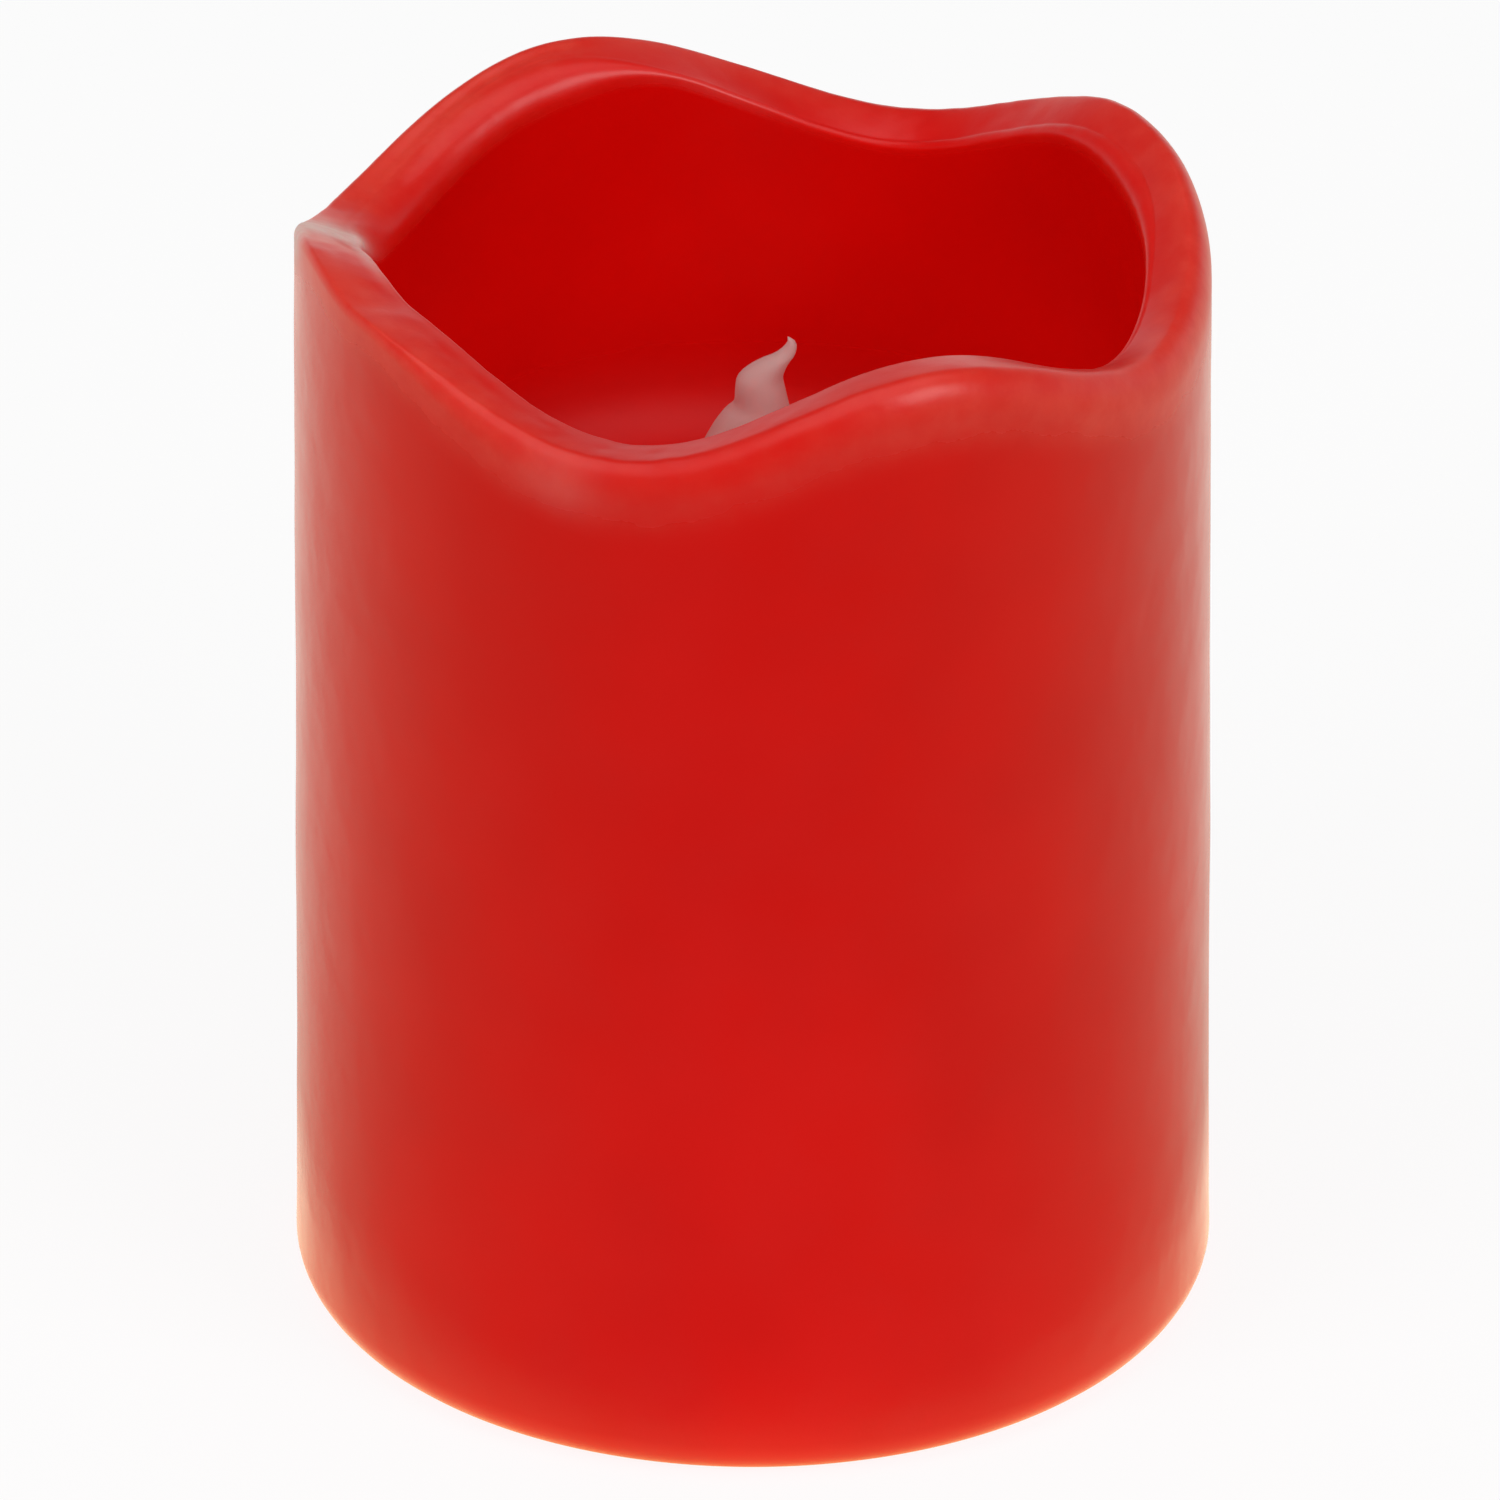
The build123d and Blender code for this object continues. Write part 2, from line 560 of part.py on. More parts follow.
with BuildPart() as capacitor:
    with BuildSketch(Plane.XY.offset(BOARD_TOP)):
        with Locations(CAPACITOR_PLACE):
            Circle(CAPACITOR_RADIUS)
    extrude(amount=CAPACITOR_HEIGHT)
    fillet(capacitor.edges().filter_by(GeomType.CIRCLE), 0.3)
    # scored top
    with BuildSketch(Plane.XY.offset(BOARD_TOP + CAPACITOR_HEIGHT - 0.15)):
        with Locations(Location((*CAPACITOR_PLACE, 0), (0, 0, 0)), Location((*CAPACITOR_PLACE, 0), (0, 0, 90))):
            Rectangle(2 * CAPACITOR_RADIUS - 1.2, 0.25)
    extrude(amount=0.15, mode=Mode.SUBTRACT)
finish(capacitor, "capacitor")


def lying_component(place, radius, length):
    """Cylindrical component lying along X on the board, on two bent leads."""
    x, y = place
    lead_reach = length / 2 + 1.0
    axis_height = BOARD_TOP + radius + 0.05
    with BuildPart() as component:
        with BuildSketch(Plane(origin=(x - length / 2, y, axis_height), z_dir=(1, 0, 0))):
            Circle(radius)
        extrude(amount=length)
        fillet(component.edges().filter_by(GeomType.CIRCLE), 0.3)
        with BuildLine():
            lead = FilletPolyline(
                (x - lead_reach, y, BOARD_TOP),
                (x - lead_reach, y, axis_height),
                (x + lead_reach, y, axis_height),
                (x + lead_reach, y, BOARD_TOP),
                radius=0.45,
            )
        with BuildSketch(Plane(origin=lead @ 0, z_dir=lead % 0)):
            Circle(LEAD_RADIUS)
        sweep(path=lead)
    return component


finish(lying_component(CRYSTAL_PLACE, CRYSTAL_RADIUS, CRYSTAL_LENGTH), "timing_crystal")
finish(lying_component(RESISTOR_PLACE, RESISTOR_RADIUS, RESISTOR_LENGTH), "resistor")

# ---- lamp holder, lamp, legs and sleeves --------------------------------------------------------------
HOLDER_FLANGE_TOP = DECK_TOP
HOLDER_SPIGOT_BOTTOM = 55.0
LEG_RADIUS = 0.25
WIRE_END = 50.0
SLEEVE_RADIUS = 0.9
SLEEVE_BOTTOM = 46.5
SLEEVE_TOP = 53.5
leg_places = [(-LEG_OFFSET, 0), (LEG_OFFSET, 0)]

with BuildPart() as led_holder:
    with BuildSketch(Plane.XY.offset(HOLDER_SPIGOT_BOTTOM)):
        Circle(TOWER_BORE - FIT)
    extrude(amount=TOWER_TOP - HOLDER_SPIGOT_BOTTOM)
    with BuildSketch(Plane.XY.offset(TOWER_TOP)):
        Circle(TOWER_RADIUS)
    extrude(amount=HOLDER_FLANGE_TOP - TOWER_TOP)
    chamfer(led_holder.edges().group_by(Axis.Z)[-1], 0.25)
    with BuildSketch(Plane.XY.offset(HOLDER_SPIGOT_BOTTOM)):
        with Locations(*leg_places):
            Circle(LEG_RADIUS + FIT)
    extrude(amount=HOLDER_FLANGE_TOP - HOLDER_SPIGOT_BOTTOM, mode=Mode.SUBTRACT)
finish(led_holder, "led_holder")

with BuildPart() as led_lamp:
    with BuildSketch(Plane.XZ):
        with BuildLine():
            Polyline(
                (0, LAMP_TIP),
                (0, HOLDER_FLANGE_TOP),
                (LAMP_FLANGE_RADIUS, HOLDER_FLANGE_TOP),
                (LAMP_FLANGE_RADIUS, HOLDER_FLANGE_TOP + 1),
                (LAMP_RADIUS, HOLDER_FLANGE_TOP + 1),
                (LAMP_RADIUS, LAMP_TIP - LAMP_RADIUS),
            )
            CenterArc((0, LAMP_TIP - LAMP_RADIUS), LAMP_RADIUS, 0, 90)
        make_face()
    revolve(axis=Axis.Z)
finish(led_lamp, "led_lamp")

with BuildPart() as led_legs:
    with BuildSketch(Plane.XY.offset(WIRE_END)):
        with Locations(*leg_places):
            Circle(LEG_RADIUS)
    extrude(amount=HOLDER_FLANGE_TOP - WIRE_END)
finish(led_legs, "led_legs")

with BuildPart() as led_sleeves:
    with BuildSketch(Plane.XY.offset(SLEEVE_BOTTOM)):
        with Locations(*leg_places):
            Circle(SLEEVE_RADIUS)
            Circle(WIRE_RADIUS + FIT, mode=Mode.SUBTRACT)
    extrude(amount=SLEEVE_TOP - SLEEVE_BOTTOM)
finish(led_sleeves, "led_sleeves")

# ---- flame tip: a hollow translucent tongue that stands over the lamp ---------------------------------
FLAME_BORE = 3.1
FLAME_BORE_TOP = 66.0
FLAME_CONE_TOP = 71.0
FLAME_CONE_RADIUS = 1.2

with BuildPart() as flame_tip:
    for height, middle, half_width, half_depth in FLAME_SECTIONS:
        with BuildSketch(Plane.XY.offset(height)):
            with Locations((middle, 0)):
                Ellipse(half_width, half_depth)
    loft()
    with BuildSketch(Plane.XY.offset(FLAME_SECTIONS[0][0])):
        Circle(FLAME_BORE)
    extrude(amount=FLAME_BORE_TOP - FLAME_SECTIONS[0][0], mode=Mode.SUBTRACT)
    with BuildSketch(Plane.XY.offset(FLAME_BORE_TOP)):
        Circle(FLAME_BORE)
    with BuildSketch(Plane.XY.offset(FLAME_CONE_TOP)):
        Circle(FLAME_CONE_RADIUS)
    loft(mode=Mode.SUBTRACT)
finish(flame_tip, "flame_tip")

# ---- wires --------------------------------------------------------------------------------------------
TAG_FACE = CONTACT_FACE
WIRE_BEND = 2.4
positive_height = 17.9
negative_height = 18.5
lamp_wire_height = 20.0


def wire(points, radius=WIRE_RADIUS):
    """Insulated wire along straight runs joined by tangent bends."""
    with BuildPart() as strand:
        with BuildLine():
            route = FilletPolyline(*points, radius=WIRE_BEND)
        with BuildSketch(Plane(origin=route @ 0, z_dir=route % 0)):
            Circle(radius)
        sweep(path=route)
    return strand


pad_x, pad_y = BATTERY_PAD
battery_wire_positive = wire(
    [
        (pad_x, pad_y, BOARD_TOP),
        (pad_x, pad_y, positive_height),
        (pad_x + 4.5, TAG_Y, positive_height),
        (TAG_FACE, TAG_Y, positive_height),
    ]
)
finish(battery_wire_positive, "battery_wire_positive")

battery_wire_negative = wire(
    [
        (-pad_x, pad_y, BOARD_TOP),
        (-pad_x, pad_y, negative_height),
        (-pad_x - 4.5, -TAG_Y, negative_height),
        (-TAG_FACE, -TAG_Y, negative_height),
    ]
)
finish(battery_wire_negative, "battery_wire_negative")

for label, (start_x, start_y), leg_x in (
    ("led_wire_positive", LAMP_PADS[0], LEG_OFFSET),
    ("led_wire_negative", LAMP_PADS[1], -LEG_OFFSET),
):
    lamp_wire = wire(
        [
            (start_x, start_y, BOARD_TOP),
            (start_x, start_y, lamp_wire_height),
            (leg_x, 0, lamp_wire_height),
            (leg_x, 0, WIRE_END),
        ]
    )
    finish(lamp_wire, label)

# ---- screws -------------------------------------------------------------------------------------------
RECESS_WIDTH = 0.5
RECESS_DEPTH = 0.5


def screws(places, head_face, way, head_radius, head_height, shank_radius, shank_length):
    """Pan-headed cross-recess screws; way is +1 where the heads face up and -1 where they face down."""
    with BuildPart() as group:
        face = Plane(origin=(0, 0, head_face), x_dir=(1, 0, 0), z_dir=(0, 0, way))
        spots = [(x, way * y) for x, y in places]
        with BuildSketch(face):
            with Locations(*spots):
                Circle(head_radius)
        extrude(amount=-head_height)
        with BuildSketch(face.offset(-head_height)):
            with Locations(*spots):
                Circle(shank_radius)
        extrude(amount=-shank_length)
        with BuildSketch(face):
            with Locations(*spots):
                Rectangle(1.3 * head_radius, RECESS_WIDTH)
                Rectangle(RECESS_WIDTH, 1.3 * head_radius)
        extrude(amount=-RECESS_DEPTH, mode=Mode.SUBTRACT)
    return group


base_screws = screws(boss_places, BASE_BOTTOM, -1, SCREW_HEAD_RADIUS, SCREW_HEAD_HEIGHT, SCREW_RADIUS, 8.0)
finish(base_screws, "base_screws")

board_screws = screws(board_places, BOARD_TOP + 1.2, 1, 1.6, 1.2, BOARD_HOLE_RADIUS - FIT, 5.0)
finish(board_screws, "board_screws")
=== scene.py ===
"""Looks of a flameless LED pillar candle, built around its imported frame.

The wax shell and the flame tip are modelled here in mesh code and stand for their plain nodes.  Every
other node keeps its shape and gets its own finish, and raised marks are added under the base and the
door.  Lengths are in metres, +Z is up and -Y is the front.
"""
import logging
import math
from abc import ABC, abstractmethod
from collections.abc import Callable, Iterable, Sequence
from dataclasses import dataclass, field
from enum import Enum
from typing import Any, Union

import bpy
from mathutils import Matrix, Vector, noise

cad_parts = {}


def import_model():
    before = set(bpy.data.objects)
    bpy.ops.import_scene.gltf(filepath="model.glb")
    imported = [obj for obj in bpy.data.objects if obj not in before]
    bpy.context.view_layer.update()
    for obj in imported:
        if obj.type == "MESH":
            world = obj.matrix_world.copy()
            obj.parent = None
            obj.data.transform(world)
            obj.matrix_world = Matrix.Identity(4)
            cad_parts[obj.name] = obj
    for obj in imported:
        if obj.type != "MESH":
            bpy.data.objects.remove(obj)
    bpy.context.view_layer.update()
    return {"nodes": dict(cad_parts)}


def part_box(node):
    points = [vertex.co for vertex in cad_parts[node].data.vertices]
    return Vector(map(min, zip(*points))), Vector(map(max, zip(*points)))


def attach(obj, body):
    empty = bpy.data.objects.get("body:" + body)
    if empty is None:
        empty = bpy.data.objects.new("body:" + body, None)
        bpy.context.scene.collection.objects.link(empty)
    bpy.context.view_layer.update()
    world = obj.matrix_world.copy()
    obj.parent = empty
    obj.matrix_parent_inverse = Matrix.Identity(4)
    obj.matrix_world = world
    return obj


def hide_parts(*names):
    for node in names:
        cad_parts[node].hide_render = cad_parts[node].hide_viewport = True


LOG = logging.getLogger("candle")
MM = 0.001
Colour = tuple[float, float, float]
Point = tuple[float, float, float]


# ---- shader graph ------------------------------------------------------------------------------------
class Value:
    """A number socket of a shader tree that takes part in Python arithmetic."""

    def __init__(self, graph: "Graph", socket: bpy.types.NodeSocket) -> None:
        """Wrap a socket.

        Args:
            graph: The graph that the socket belongs to.
            socket: The output socket that carries the number.
        """
        self.graph = graph
        self.socket = socket

    def math(self, operation: str, *others: "Number") -> "Value":
        """Run a Math node with this value first.

        Args:
            operation: Name of the Math node's operation.
            others: The node's further inputs.

        Returns:
            The result as a new value.
        """
        return self.graph.math(operation, self, *others)

    def __add__(self, other: "Number") -> "Value":
        """Add another number."""
        return self.math("ADD", other)

    __radd__ = __add__

    def __mul__(self, other: "Number") -> "Value":
        """Multiply by another number."""
        return self.math("MULTIPLY", other)

    __rmul__ = __mul__

    def __sub__(self, other: "Number") -> "Value":
        """Subtract another number."""
        return self.math("SUBTRACT", other)

    def __rsub__(self, other: "Number") -> "Value":
        """Subtract this value from a number."""
        return self.graph.math("SUBTRACT", other, self)

    def __truediv__(self, other: "Number") -> "Value":
        """Divide by another number."""
        return self.math("DIVIDE", other)

    def __gt__(self, other: "Number") -> "Value":
        """1 where this value is greater, else 0."""
        return self.math("GREATER_THAN", other)

    def __lt__(self, other: "Number") -> "Value":
        """1 where this value is less, else 0."""
        return self.math("LESS_THAN", other)

    def __abs__(self) -> "Value":
        """Size of this value without its sign."""
        return self.math("ABSOLUTE")

    def between(self, low: float, high: float) -> "Value":
        """Rise smoothly from 0 at low to 1 at high.

        Args:
            low: Where the rise starts.
            high: Where it ends; it may be below low for a falling edge.

        Returns:
            A value from 0 to 1.
        """
        if low > high:
            return 1 - self.between(high, low)
        rise = {"interpolation_type": "SMOOTHSTEP"}
        return self.graph.value("ShaderNodeMapRange", rise, {0: self, 1: low, 2: high}, output="Result")


Number = Union[Value, float, int]
Input = Union[Value, bpy.types.NodeSocket, float, Sequence[float]]


class Graph:
    """The node tree of one material or world."""

    def __init__(self, tree: bpy.types.NodeTree) -> None:
        """Empty a tree, ready for new nodes.

        Args:
            tree: The tree to fill.
        """
        self.tree = tree
        tree.nodes.clear()

    def node(self, kind: str, settings: dict[str, Any] | None = None,
             inputs: dict[int | str, Input] | None = None) -> bpy.types.Node:
        """Add a node.

        Args:
            kind: Blender's type name of the node.
            settings: Attributes of the node, set first.
            inputs: Values or links by the input socket's name or number.

        Returns:
            The new node.
        """
        made = self.tree.nodes.new(kind)
        for key, setting in (settings or {}).items():
            setattr(made, key, setting)
        for key, given in (inputs or {}).items():
            socket = made.inputs[key]
            if isinstance(given, Value):
                self.tree.links.new(given.socket, socket)
            elif isinstance(given, bpy.types.NodeSocket):
                self.tree.links.new(given, socket)
            else:
                socket.default_value = given
        return made

    def value(self, kind: str, settings: dict[str, Any] | None = None,
              inputs: dict[int | str, Input] | None = None, output: int | str = 0) -> Value:
        """Add a node and wrap one of its outputs as a number.

        Args:
            kind: Blender's type name of the node.
            settings: Attributes of the node.
            inputs: Values or links of its inputs.
            output: Name or number of the output to take.

        Returns:
            The output as a value.
        """
        return Value(self, self.node(kind, settings, inputs).outputs[output])

    def math(self, operation: str, *terms: Number) -> Value:
        """Add a Math node.

        Args:
            operation: The node's operation.
            terms: Its inputs in order.

        Returns:
            The result.
        """
        return self.value("ShaderNodeMath", {"operation": operation}, dict(enumerate(terms)))

    def place(self) -> bpy.types.NodeSocket:
        """Position on the object in its own frame, in metres."""
        return self.node("ShaderNodeTexCoord").outputs["Object"]

    def axis(self, name: str) -> Value:
        """One coordinate of the position in millimetres.

        Args:
            name: X, Y or Z.

        Returns:
            The coordinate.
        """
        split = self.node("ShaderNodeSeparateXYZ", None, {0: self.place()})
        return Value(self, split.outputs[name]) * (1 / MM)

    def attribute(self, name: str) -> Value:
        """Number stored on the mesh's points under a name."""
        return self.value("ShaderNodeAttribute", {"attribute_name": name}, output="Fac")

    def noise(self, size: float, detail: float = 3.0, roughness: float = 0.5,
              stretch: Point = (1.0, 1.0, 1.0)) -> Value:
        """Noise from 0 to 1.

        Args:
            size: Size of its features in metres.
            detail: Number of finer octaves.
            roughness: Weight of those octaves.
            stretch: Factors on the coordinates, for streaks.

        Returns:
            The noise value.
        """
        moved = self.node("ShaderNodeMapping", None, {"Vector": self.place(), "Scale": stretch})
        inputs = {"Vector": moved.outputs[0], "Scale": 1 / size, "Detail": detail, "Roughness": roughness}
        return self.value("ShaderNodeTexNoise", None, inputs, output="Fac")

    def mix(self, factor: Number, first: Input, second: Input) -> bpy.types.NodeSocket:
        """Mix two colours.

        Args:
            factor: Share of the second colour.
            first: Colour or link at factor 0.
            second: Colour or link at factor 1.

        Returns:
            The mixed colour's socket.
        """
        settings = {"data_type": "RGBA", "clamp_factor": True}
        inputs = {0: factor, 6: self._rgba(first), 7: self._rgba(second)}
        return self.node("ShaderNodeMix", settings, inputs).outputs[2]

    @staticmethod
    def _rgba(colour: Input) -> Input:
        """A colour with its alpha added, or the link as it is."""
        return (*colour, 1.0) if isinstance(colour, tuple) else colour

    def bump(self, height: Value, depth: float, strength: float = 1.0,
             under: bpy.types.NodeSocket | None = None) -> bpy.types.NodeSocket:
        """Normal of a surface raised by a height value.

        Args:
            height: Height from 0 to 1.
            depth: Height of 1 in metres.
            strength: How much of the effect is used.
            under: Normal that this one adds to.

        Returns:
            The normal's socket.
        """
        inputs: dict[int | str, Input] = {"Height": height, "Distance": depth, "Strength": strength}
        if under is not None:
            inputs["Normal"] = under
        return self.node("ShaderNodeBump", None, inputs).outputs["Normal"]


# ---- finishes ----------------------------------------------------------------------------------------
@dataclass(frozen=True)
class Finish(ABC):
    """A named surface finish that can make its material."""

    name: str

    def material(self) -> bpy.types.Material:
        """Material of this finish, made once and shared after that."""
        label = f"{self.name}_finish"
        found = bpy.data.materials.get(label)
        if found:
            return found
        made = bpy.data.materials.new(label)
        made.use_nodes = True
        graph = Graph(made.node_tree)
        shader = graph.node("ShaderNodeBsdfPrincipled", None, self.sockets(graph))
        graph.node("ShaderNodeOutputMaterial", None, {"Surface": shader.outputs[0]})
        return made

    @abstractmethod
    def sockets(self, graph: Graph) -> dict[int | str, Input]:
        """Values and links of the Principled shader's sockets.

        Args:
            graph: The graph in which to add texture nodes.

        Returns:
            Inputs by socket name.
        """


@dataclass(frozen=True)
class RedWax(Finish):
    """Dyed paraffin with a satin skin, a melted rim whose pale haze is partly painted highlight, and a few
    pale scrapes with painted glare.
    """

    deep: Colour = (0.75, 0.0012, 0.0005)
    bright: Colour = (0.81, 0.0020, 0.0008)
    # lighter rim haze: partly wax bloom, partly painted highlight where the rim faces the light
    bloom_and_highlight: Colour = (0.86, 0.050, 0.030)
    # pale scraped wax, also used for painted glare on the rim's corner and edges and a painted highlight line
    # along the inner edge
    scrape_and_glare: Colour = (1.0, 0.62, 0.56)
    deck_band: tuple[float, float] = (69.0, 64.0)  # heights in millimetres between which the well dulls

    def sockets(self, graph: Graph) -> dict[int | str, Input]:
        """Values and links of the Principled shader's sockets, as in Finish."""
        cloud = graph.noise(22 * MM, 2.0)
        mottle = graph.noise(2.6 * MM, 4.0, 0.6)
        melt = graph.attribute("melt")
        scuff = graph.attribute("scuff")
        body = graph.mix(cloud.between(0.3, 0.7), self.deep, self.bright)
        # Pale rim haze, partly wax bloom and partly painted highlight on the lit rim.
        pale = graph.attribute("pale")
        hazed_and_lit = graph.mix(pale * (0.55 + 0.7 * mottle.between(0.25, 0.85)), body, self.bloom_and_highlight)
        # Pale patches: partly scraped wax, partly painted glare and painted highlight lines on the rim's
        # edges.
        torn = graph.noise(1.3 * MM, 3.0, 0.7, (1.0, 1.0, 0.5))
        colour = graph.mix(scuff * (0.55 + 0.8 * torn), hazed_and_lit, self.scrape_and_glare)
        deck = graph.attribute("inside") * graph.axis("Z").between(*self.deck_band)
        satin = 0.17 + 0.10 * graph.noise(7 * MM, 3.0) + 0.40 * deck
        grain = graph.noise(0.55 * MM, 3.0, 0.6)
        skin = graph.bump(graph.noise(5.0 * MM, 2.0), 0.11 * MM)
        return {
            "Base Color": colour,
            "Roughness": satin + melt * (0.05 + 0.10 * mottle) + 0.25 * scuff,
            "Normal": graph.bump(grain, 0.02 * MM, 0.6, skin),
            "IOR": 1.44,
            "Subsurface Weight": 0.30,
            "Subsurface Radius": (1.0, 0.10, 0.05),
            "Subsurface Scale": 2.4 * MM,
        }


@dataclass(frozen=True)
class MilkyPlastic(Finish):
    """Translucent moulded plastic of the flame tip."""

    colour: Colour = (0.92, 0.76, 0.72)
    veil: float = 0.45

    def sockets(self, graph: Graph) -> dict[int | str, Input]:
        """Values and links of the Principled shader's sockets, as in Finish."""
        flow = graph.noise(3.0 * MM, 2.0, 0.5, (1.0, 1.0, 0.3))
        dimmer = tuple(0.93 * c for c in self.colour)
        return {
            "Base Color": graph.mix(flow.between(0.3, 0.7), self.colour, dimmer),
            "Roughness": 0.52 + 0.12 * flow,
            "Alpha": self.veil + 0.10 * (flow - 0.5),
            "Normal": graph.bump(graph.noise(0.5 * MM, 2.0), 0.015 * MM),
            "IOR": 1.46,
            "Subsurface Weight": 0.4,
            "Subsurface Radius": (1.0, 0.9, 0.85),
            "Subsurface Scale": 1.5 * MM,
        }


@dataclass(frozen=True)
class MouldedPlastic(Finish):
    """Injection-moulded plastic with a spark-eroded grain."""

    colour: Colour
    roughness: float = 0.45
    grain: float = 0.35 * MM
    depth: float = 0.02 * MM

    def sockets(self, graph: Graph) -> dict[int | str, Input]:
        """Values and links of the Principled shader's sockets, as in Finish."""
        cloud = graph.noise(9 * MM, 2.0)
        pits = graph.noise(self.grain, 3.0, 0.65)
        darker = tuple(0.90 * c for c in self.colour)
        return {
            "Base Color": graph.mix(cloud.between(0.3, 0.7), darker, self.colour),
            "Roughness": self.roughness + 0.14 * (pits - 0.5) + 0.06 * cloud,
            "Normal": graph.bump(pits, self.depth, 0.8),
            "IOR": 1.48,
        }


@dataclass(frozen=True)
class DrawnMetal(Finish):
    """Plated or drawn metal with fine streaks and dulled spots."""

    colour: Colour
    roughness: float = 0.26
    streak: Point = (1.0, 1.0, 0.12)

    def sockets(self, graph: Graph) -> dict[int | str, Input]:
        """Values and links of the Principled shader's sockets, as in Finish."""
        streaks = graph.noise(0.5 * MM, 3.0, 0.6, self.streak)
        tarnish = graph.noise(3.5 * MM, 3.0, 0.6).between(0.45, 0.75)
        dull = tuple(0.72 * c for c in self.colour)
        return {
            "Base Color": graph.mix(0.55 * tarnish, self.colour, dull),
            "Metallic": 1.0 - 0.12 * tarnish,
            "Roughness": self.roughness + 0.12 * streaks + 0.14 * tarnish,
            "Normal": graph.bump(streaks, 0.01 * MM, 0.5),
        }


@dataclass(frozen=True)
class SoftInsulation(Finish):
    """Flexible sleeve of a wire or a shrunk tube."""

    colour: Colour
    roughness: float = 0.42

    def sockets(self, graph: Graph) -> dict[int | str, Input]:
        """Values and links of the Principled shader's sockets, as in Finish."""
        smear = graph.noise(1.6 * MM, 3.0)
        lighter = tuple(min(1.0, 1.25 * c + 0.01) for c in self.colour)
        return {
            "Base Color": graph.mix(smear.between(0.35, 0.7), self.colour, lighter),
            "Roughness": self.roughness + 0.16 * smear,
            "Normal": graph.bump(smear, 0.02 * MM, 0.6),
            "IOR": 1.5,
        }


@dataclass(frozen=True)
class BoardLaminate(Finish):
    """Green solder mask with copper tracks showing through as a lighter maze."""

    mask: Colour = (0.012, 0.10, 0.035)
    track: Colour = (0.035, 0.22, 0.075)
    edge: Colour = (0.42, 0.36, 0.16)

    def sockets(self, graph: Graph) -> dict[int | str, Input]:
        """Values and links of the Principled shader's sockets, as in Finish."""
        cells = {"feature": "DISTANCE_TO_EDGE", "distance": "MANHATTAN"}
        maze = graph.value("ShaderNodeTexVoronoi", cells, {"Vector": graph.place(), "Scale": 1 / (1.7 * MM)},
                           output="Distance")
        tracks = 1 - maze.between(0.05, 0.12)
        up = graph.node("ShaderNodeSeparateXYZ", None,
                        {0: graph.node("ShaderNodeNewGeometry").outputs["Normal"]})
        face = abs(Value(graph, up.outputs["Z"])).between(0.4, 0.6)
        masked = graph.mix(tracks, self.mask, self.track)
        return {
            "Base Color": graph.mix(face, self.edge, masked),
            "Roughness": 0.62 - 0.34 * face + 0.08 * graph.noise(1.2 * MM),
            "Normal": graph.bump(tracks, 0.03 * MM),
            "IOR": 1.5,
        }


@dataclass(frozen=True)
class CellJacket(Finish):
    """Printed jacket of a battery cell, with bare metal ends and a band at the positive end.

    Lengths are in millimetres from the middle towards the positive end.
    """

    way: int = 1
    jacket: Colour = (0.018, 0.020, 0.026)
    band: Colour = (0.55, 0.27, 0.09)
    metal: Colour = (0.70, 0.69, 0.67)
    bare_end: float = -21.65
    bare_start: float = 20.9
    band_start: float = 12.5
    ring_place: float = 11.3
    ring_half: float = 0.35

    def sockets(self, graph: Graph) -> dict[int | str, Input]:
        """Values and links of the Principled shader's sockets, as in Finish."""
        along = graph.axis("X") * float(self.way)
        bare = (along > self.bare_start).math("MAXIMUM", along < self.bare_end)
        band = along > self.band_start
        ring = abs(along - self.ring_place) < self.ring_half
        print_colour = graph.mix(band, self.jacket, self.band)
        ringed = graph.mix(ring, print_colour, self.metal)
        scratches = graph.noise(0.9 * MM, 3.0, 0.6, (0.2, 1.0, 1.0))
        return {
            "Base Color": graph.mix(bare, ringed, self.metal),
            "Metallic": 0.25 + 0.7 * bare.math("MAXIMUM", ring),
            "Roughness": 0.24 + 0.16 * scratches + 0.06 * bare,
            "Coat Weight": 0.35 - 0.35 * bare,
            "Normal": graph.bump(scratches, 0.012 * MM, 0.5),
        }


@dataclass(frozen=True)
class LampEpoxy(Finish):
    """Clear amber-tinted epoxy of the lamp."""

    colour: Colour = (0.98, 0.86, 0.58)
    frosted: Colour = (0.80, 0.76, 0.62)
    cup_band: tuple[float, float] = (64.0, 61.5)  # heights in millimetres between which the cup shows

    def sockets(self, graph: Graph) -> dict[int | str, Input]:
        """Values and links of the Principled shader's sockets, as in Finish."""
        swirl = graph.noise(1.4 * MM, 2.0)
        cup = graph.axis("Z").between(*self.cup_band)
        return {
            "Base Color": graph.mix(0.5 * cup, self.colour, self.frosted),
            "Roughness": 0.06 + 0.10 * swirl + 0.2 * cup,
            "Normal": graph.bump(swirl, 0.02 * MM, 0.4),
            "IOR": 1.54,
            "Transmission Weight": 0.8,
        }


@dataclass(frozen=True)
class BandedLacquer(Finish):
    """Lacquered resistor body with colour bands across it; lengths are in millimetres."""

    body: Colour = (0.56, 0.42, 0.24)
    bands: tuple[Colour, ...] = (
        (0.25, 0.09, 0.02), (0.01, 0.01, 0.01), (0.55, 0.05, 0.02), (0.6, 0.42, 0.08))
    lead: Colour = (0.68, 0.67, 0.65)
    middle: float = -5.2
    pitch: float = 0.75
    band_half: float = 0.17
    body_half: float = 1.82

    def sockets(self, graph: Graph) -> dict[int | str, Input]:
        """Values and links of the Principled shader's sockets, as in Finish."""
        along = graph.axis("X") - self.middle
        colour: Input = self.body
        for number, band in enumerate(self.bands):
            place = (number - (len(self.bands) - 1) / 2) * self.pitch
            colour = graph.mix(abs(along - place) < self.band_half, colour, band)
        bare = abs(along) > self.body_half
        return {
            "Base Color": graph.mix(bare, colour, self.lead),
            "Metallic": bare * 0.9,
            "Roughness": 0.30 + 0.12 * graph.noise(0.7 * MM),
            "Normal": graph.bump(graph.noise(0.8 * MM), 0.02 * MM),
        }


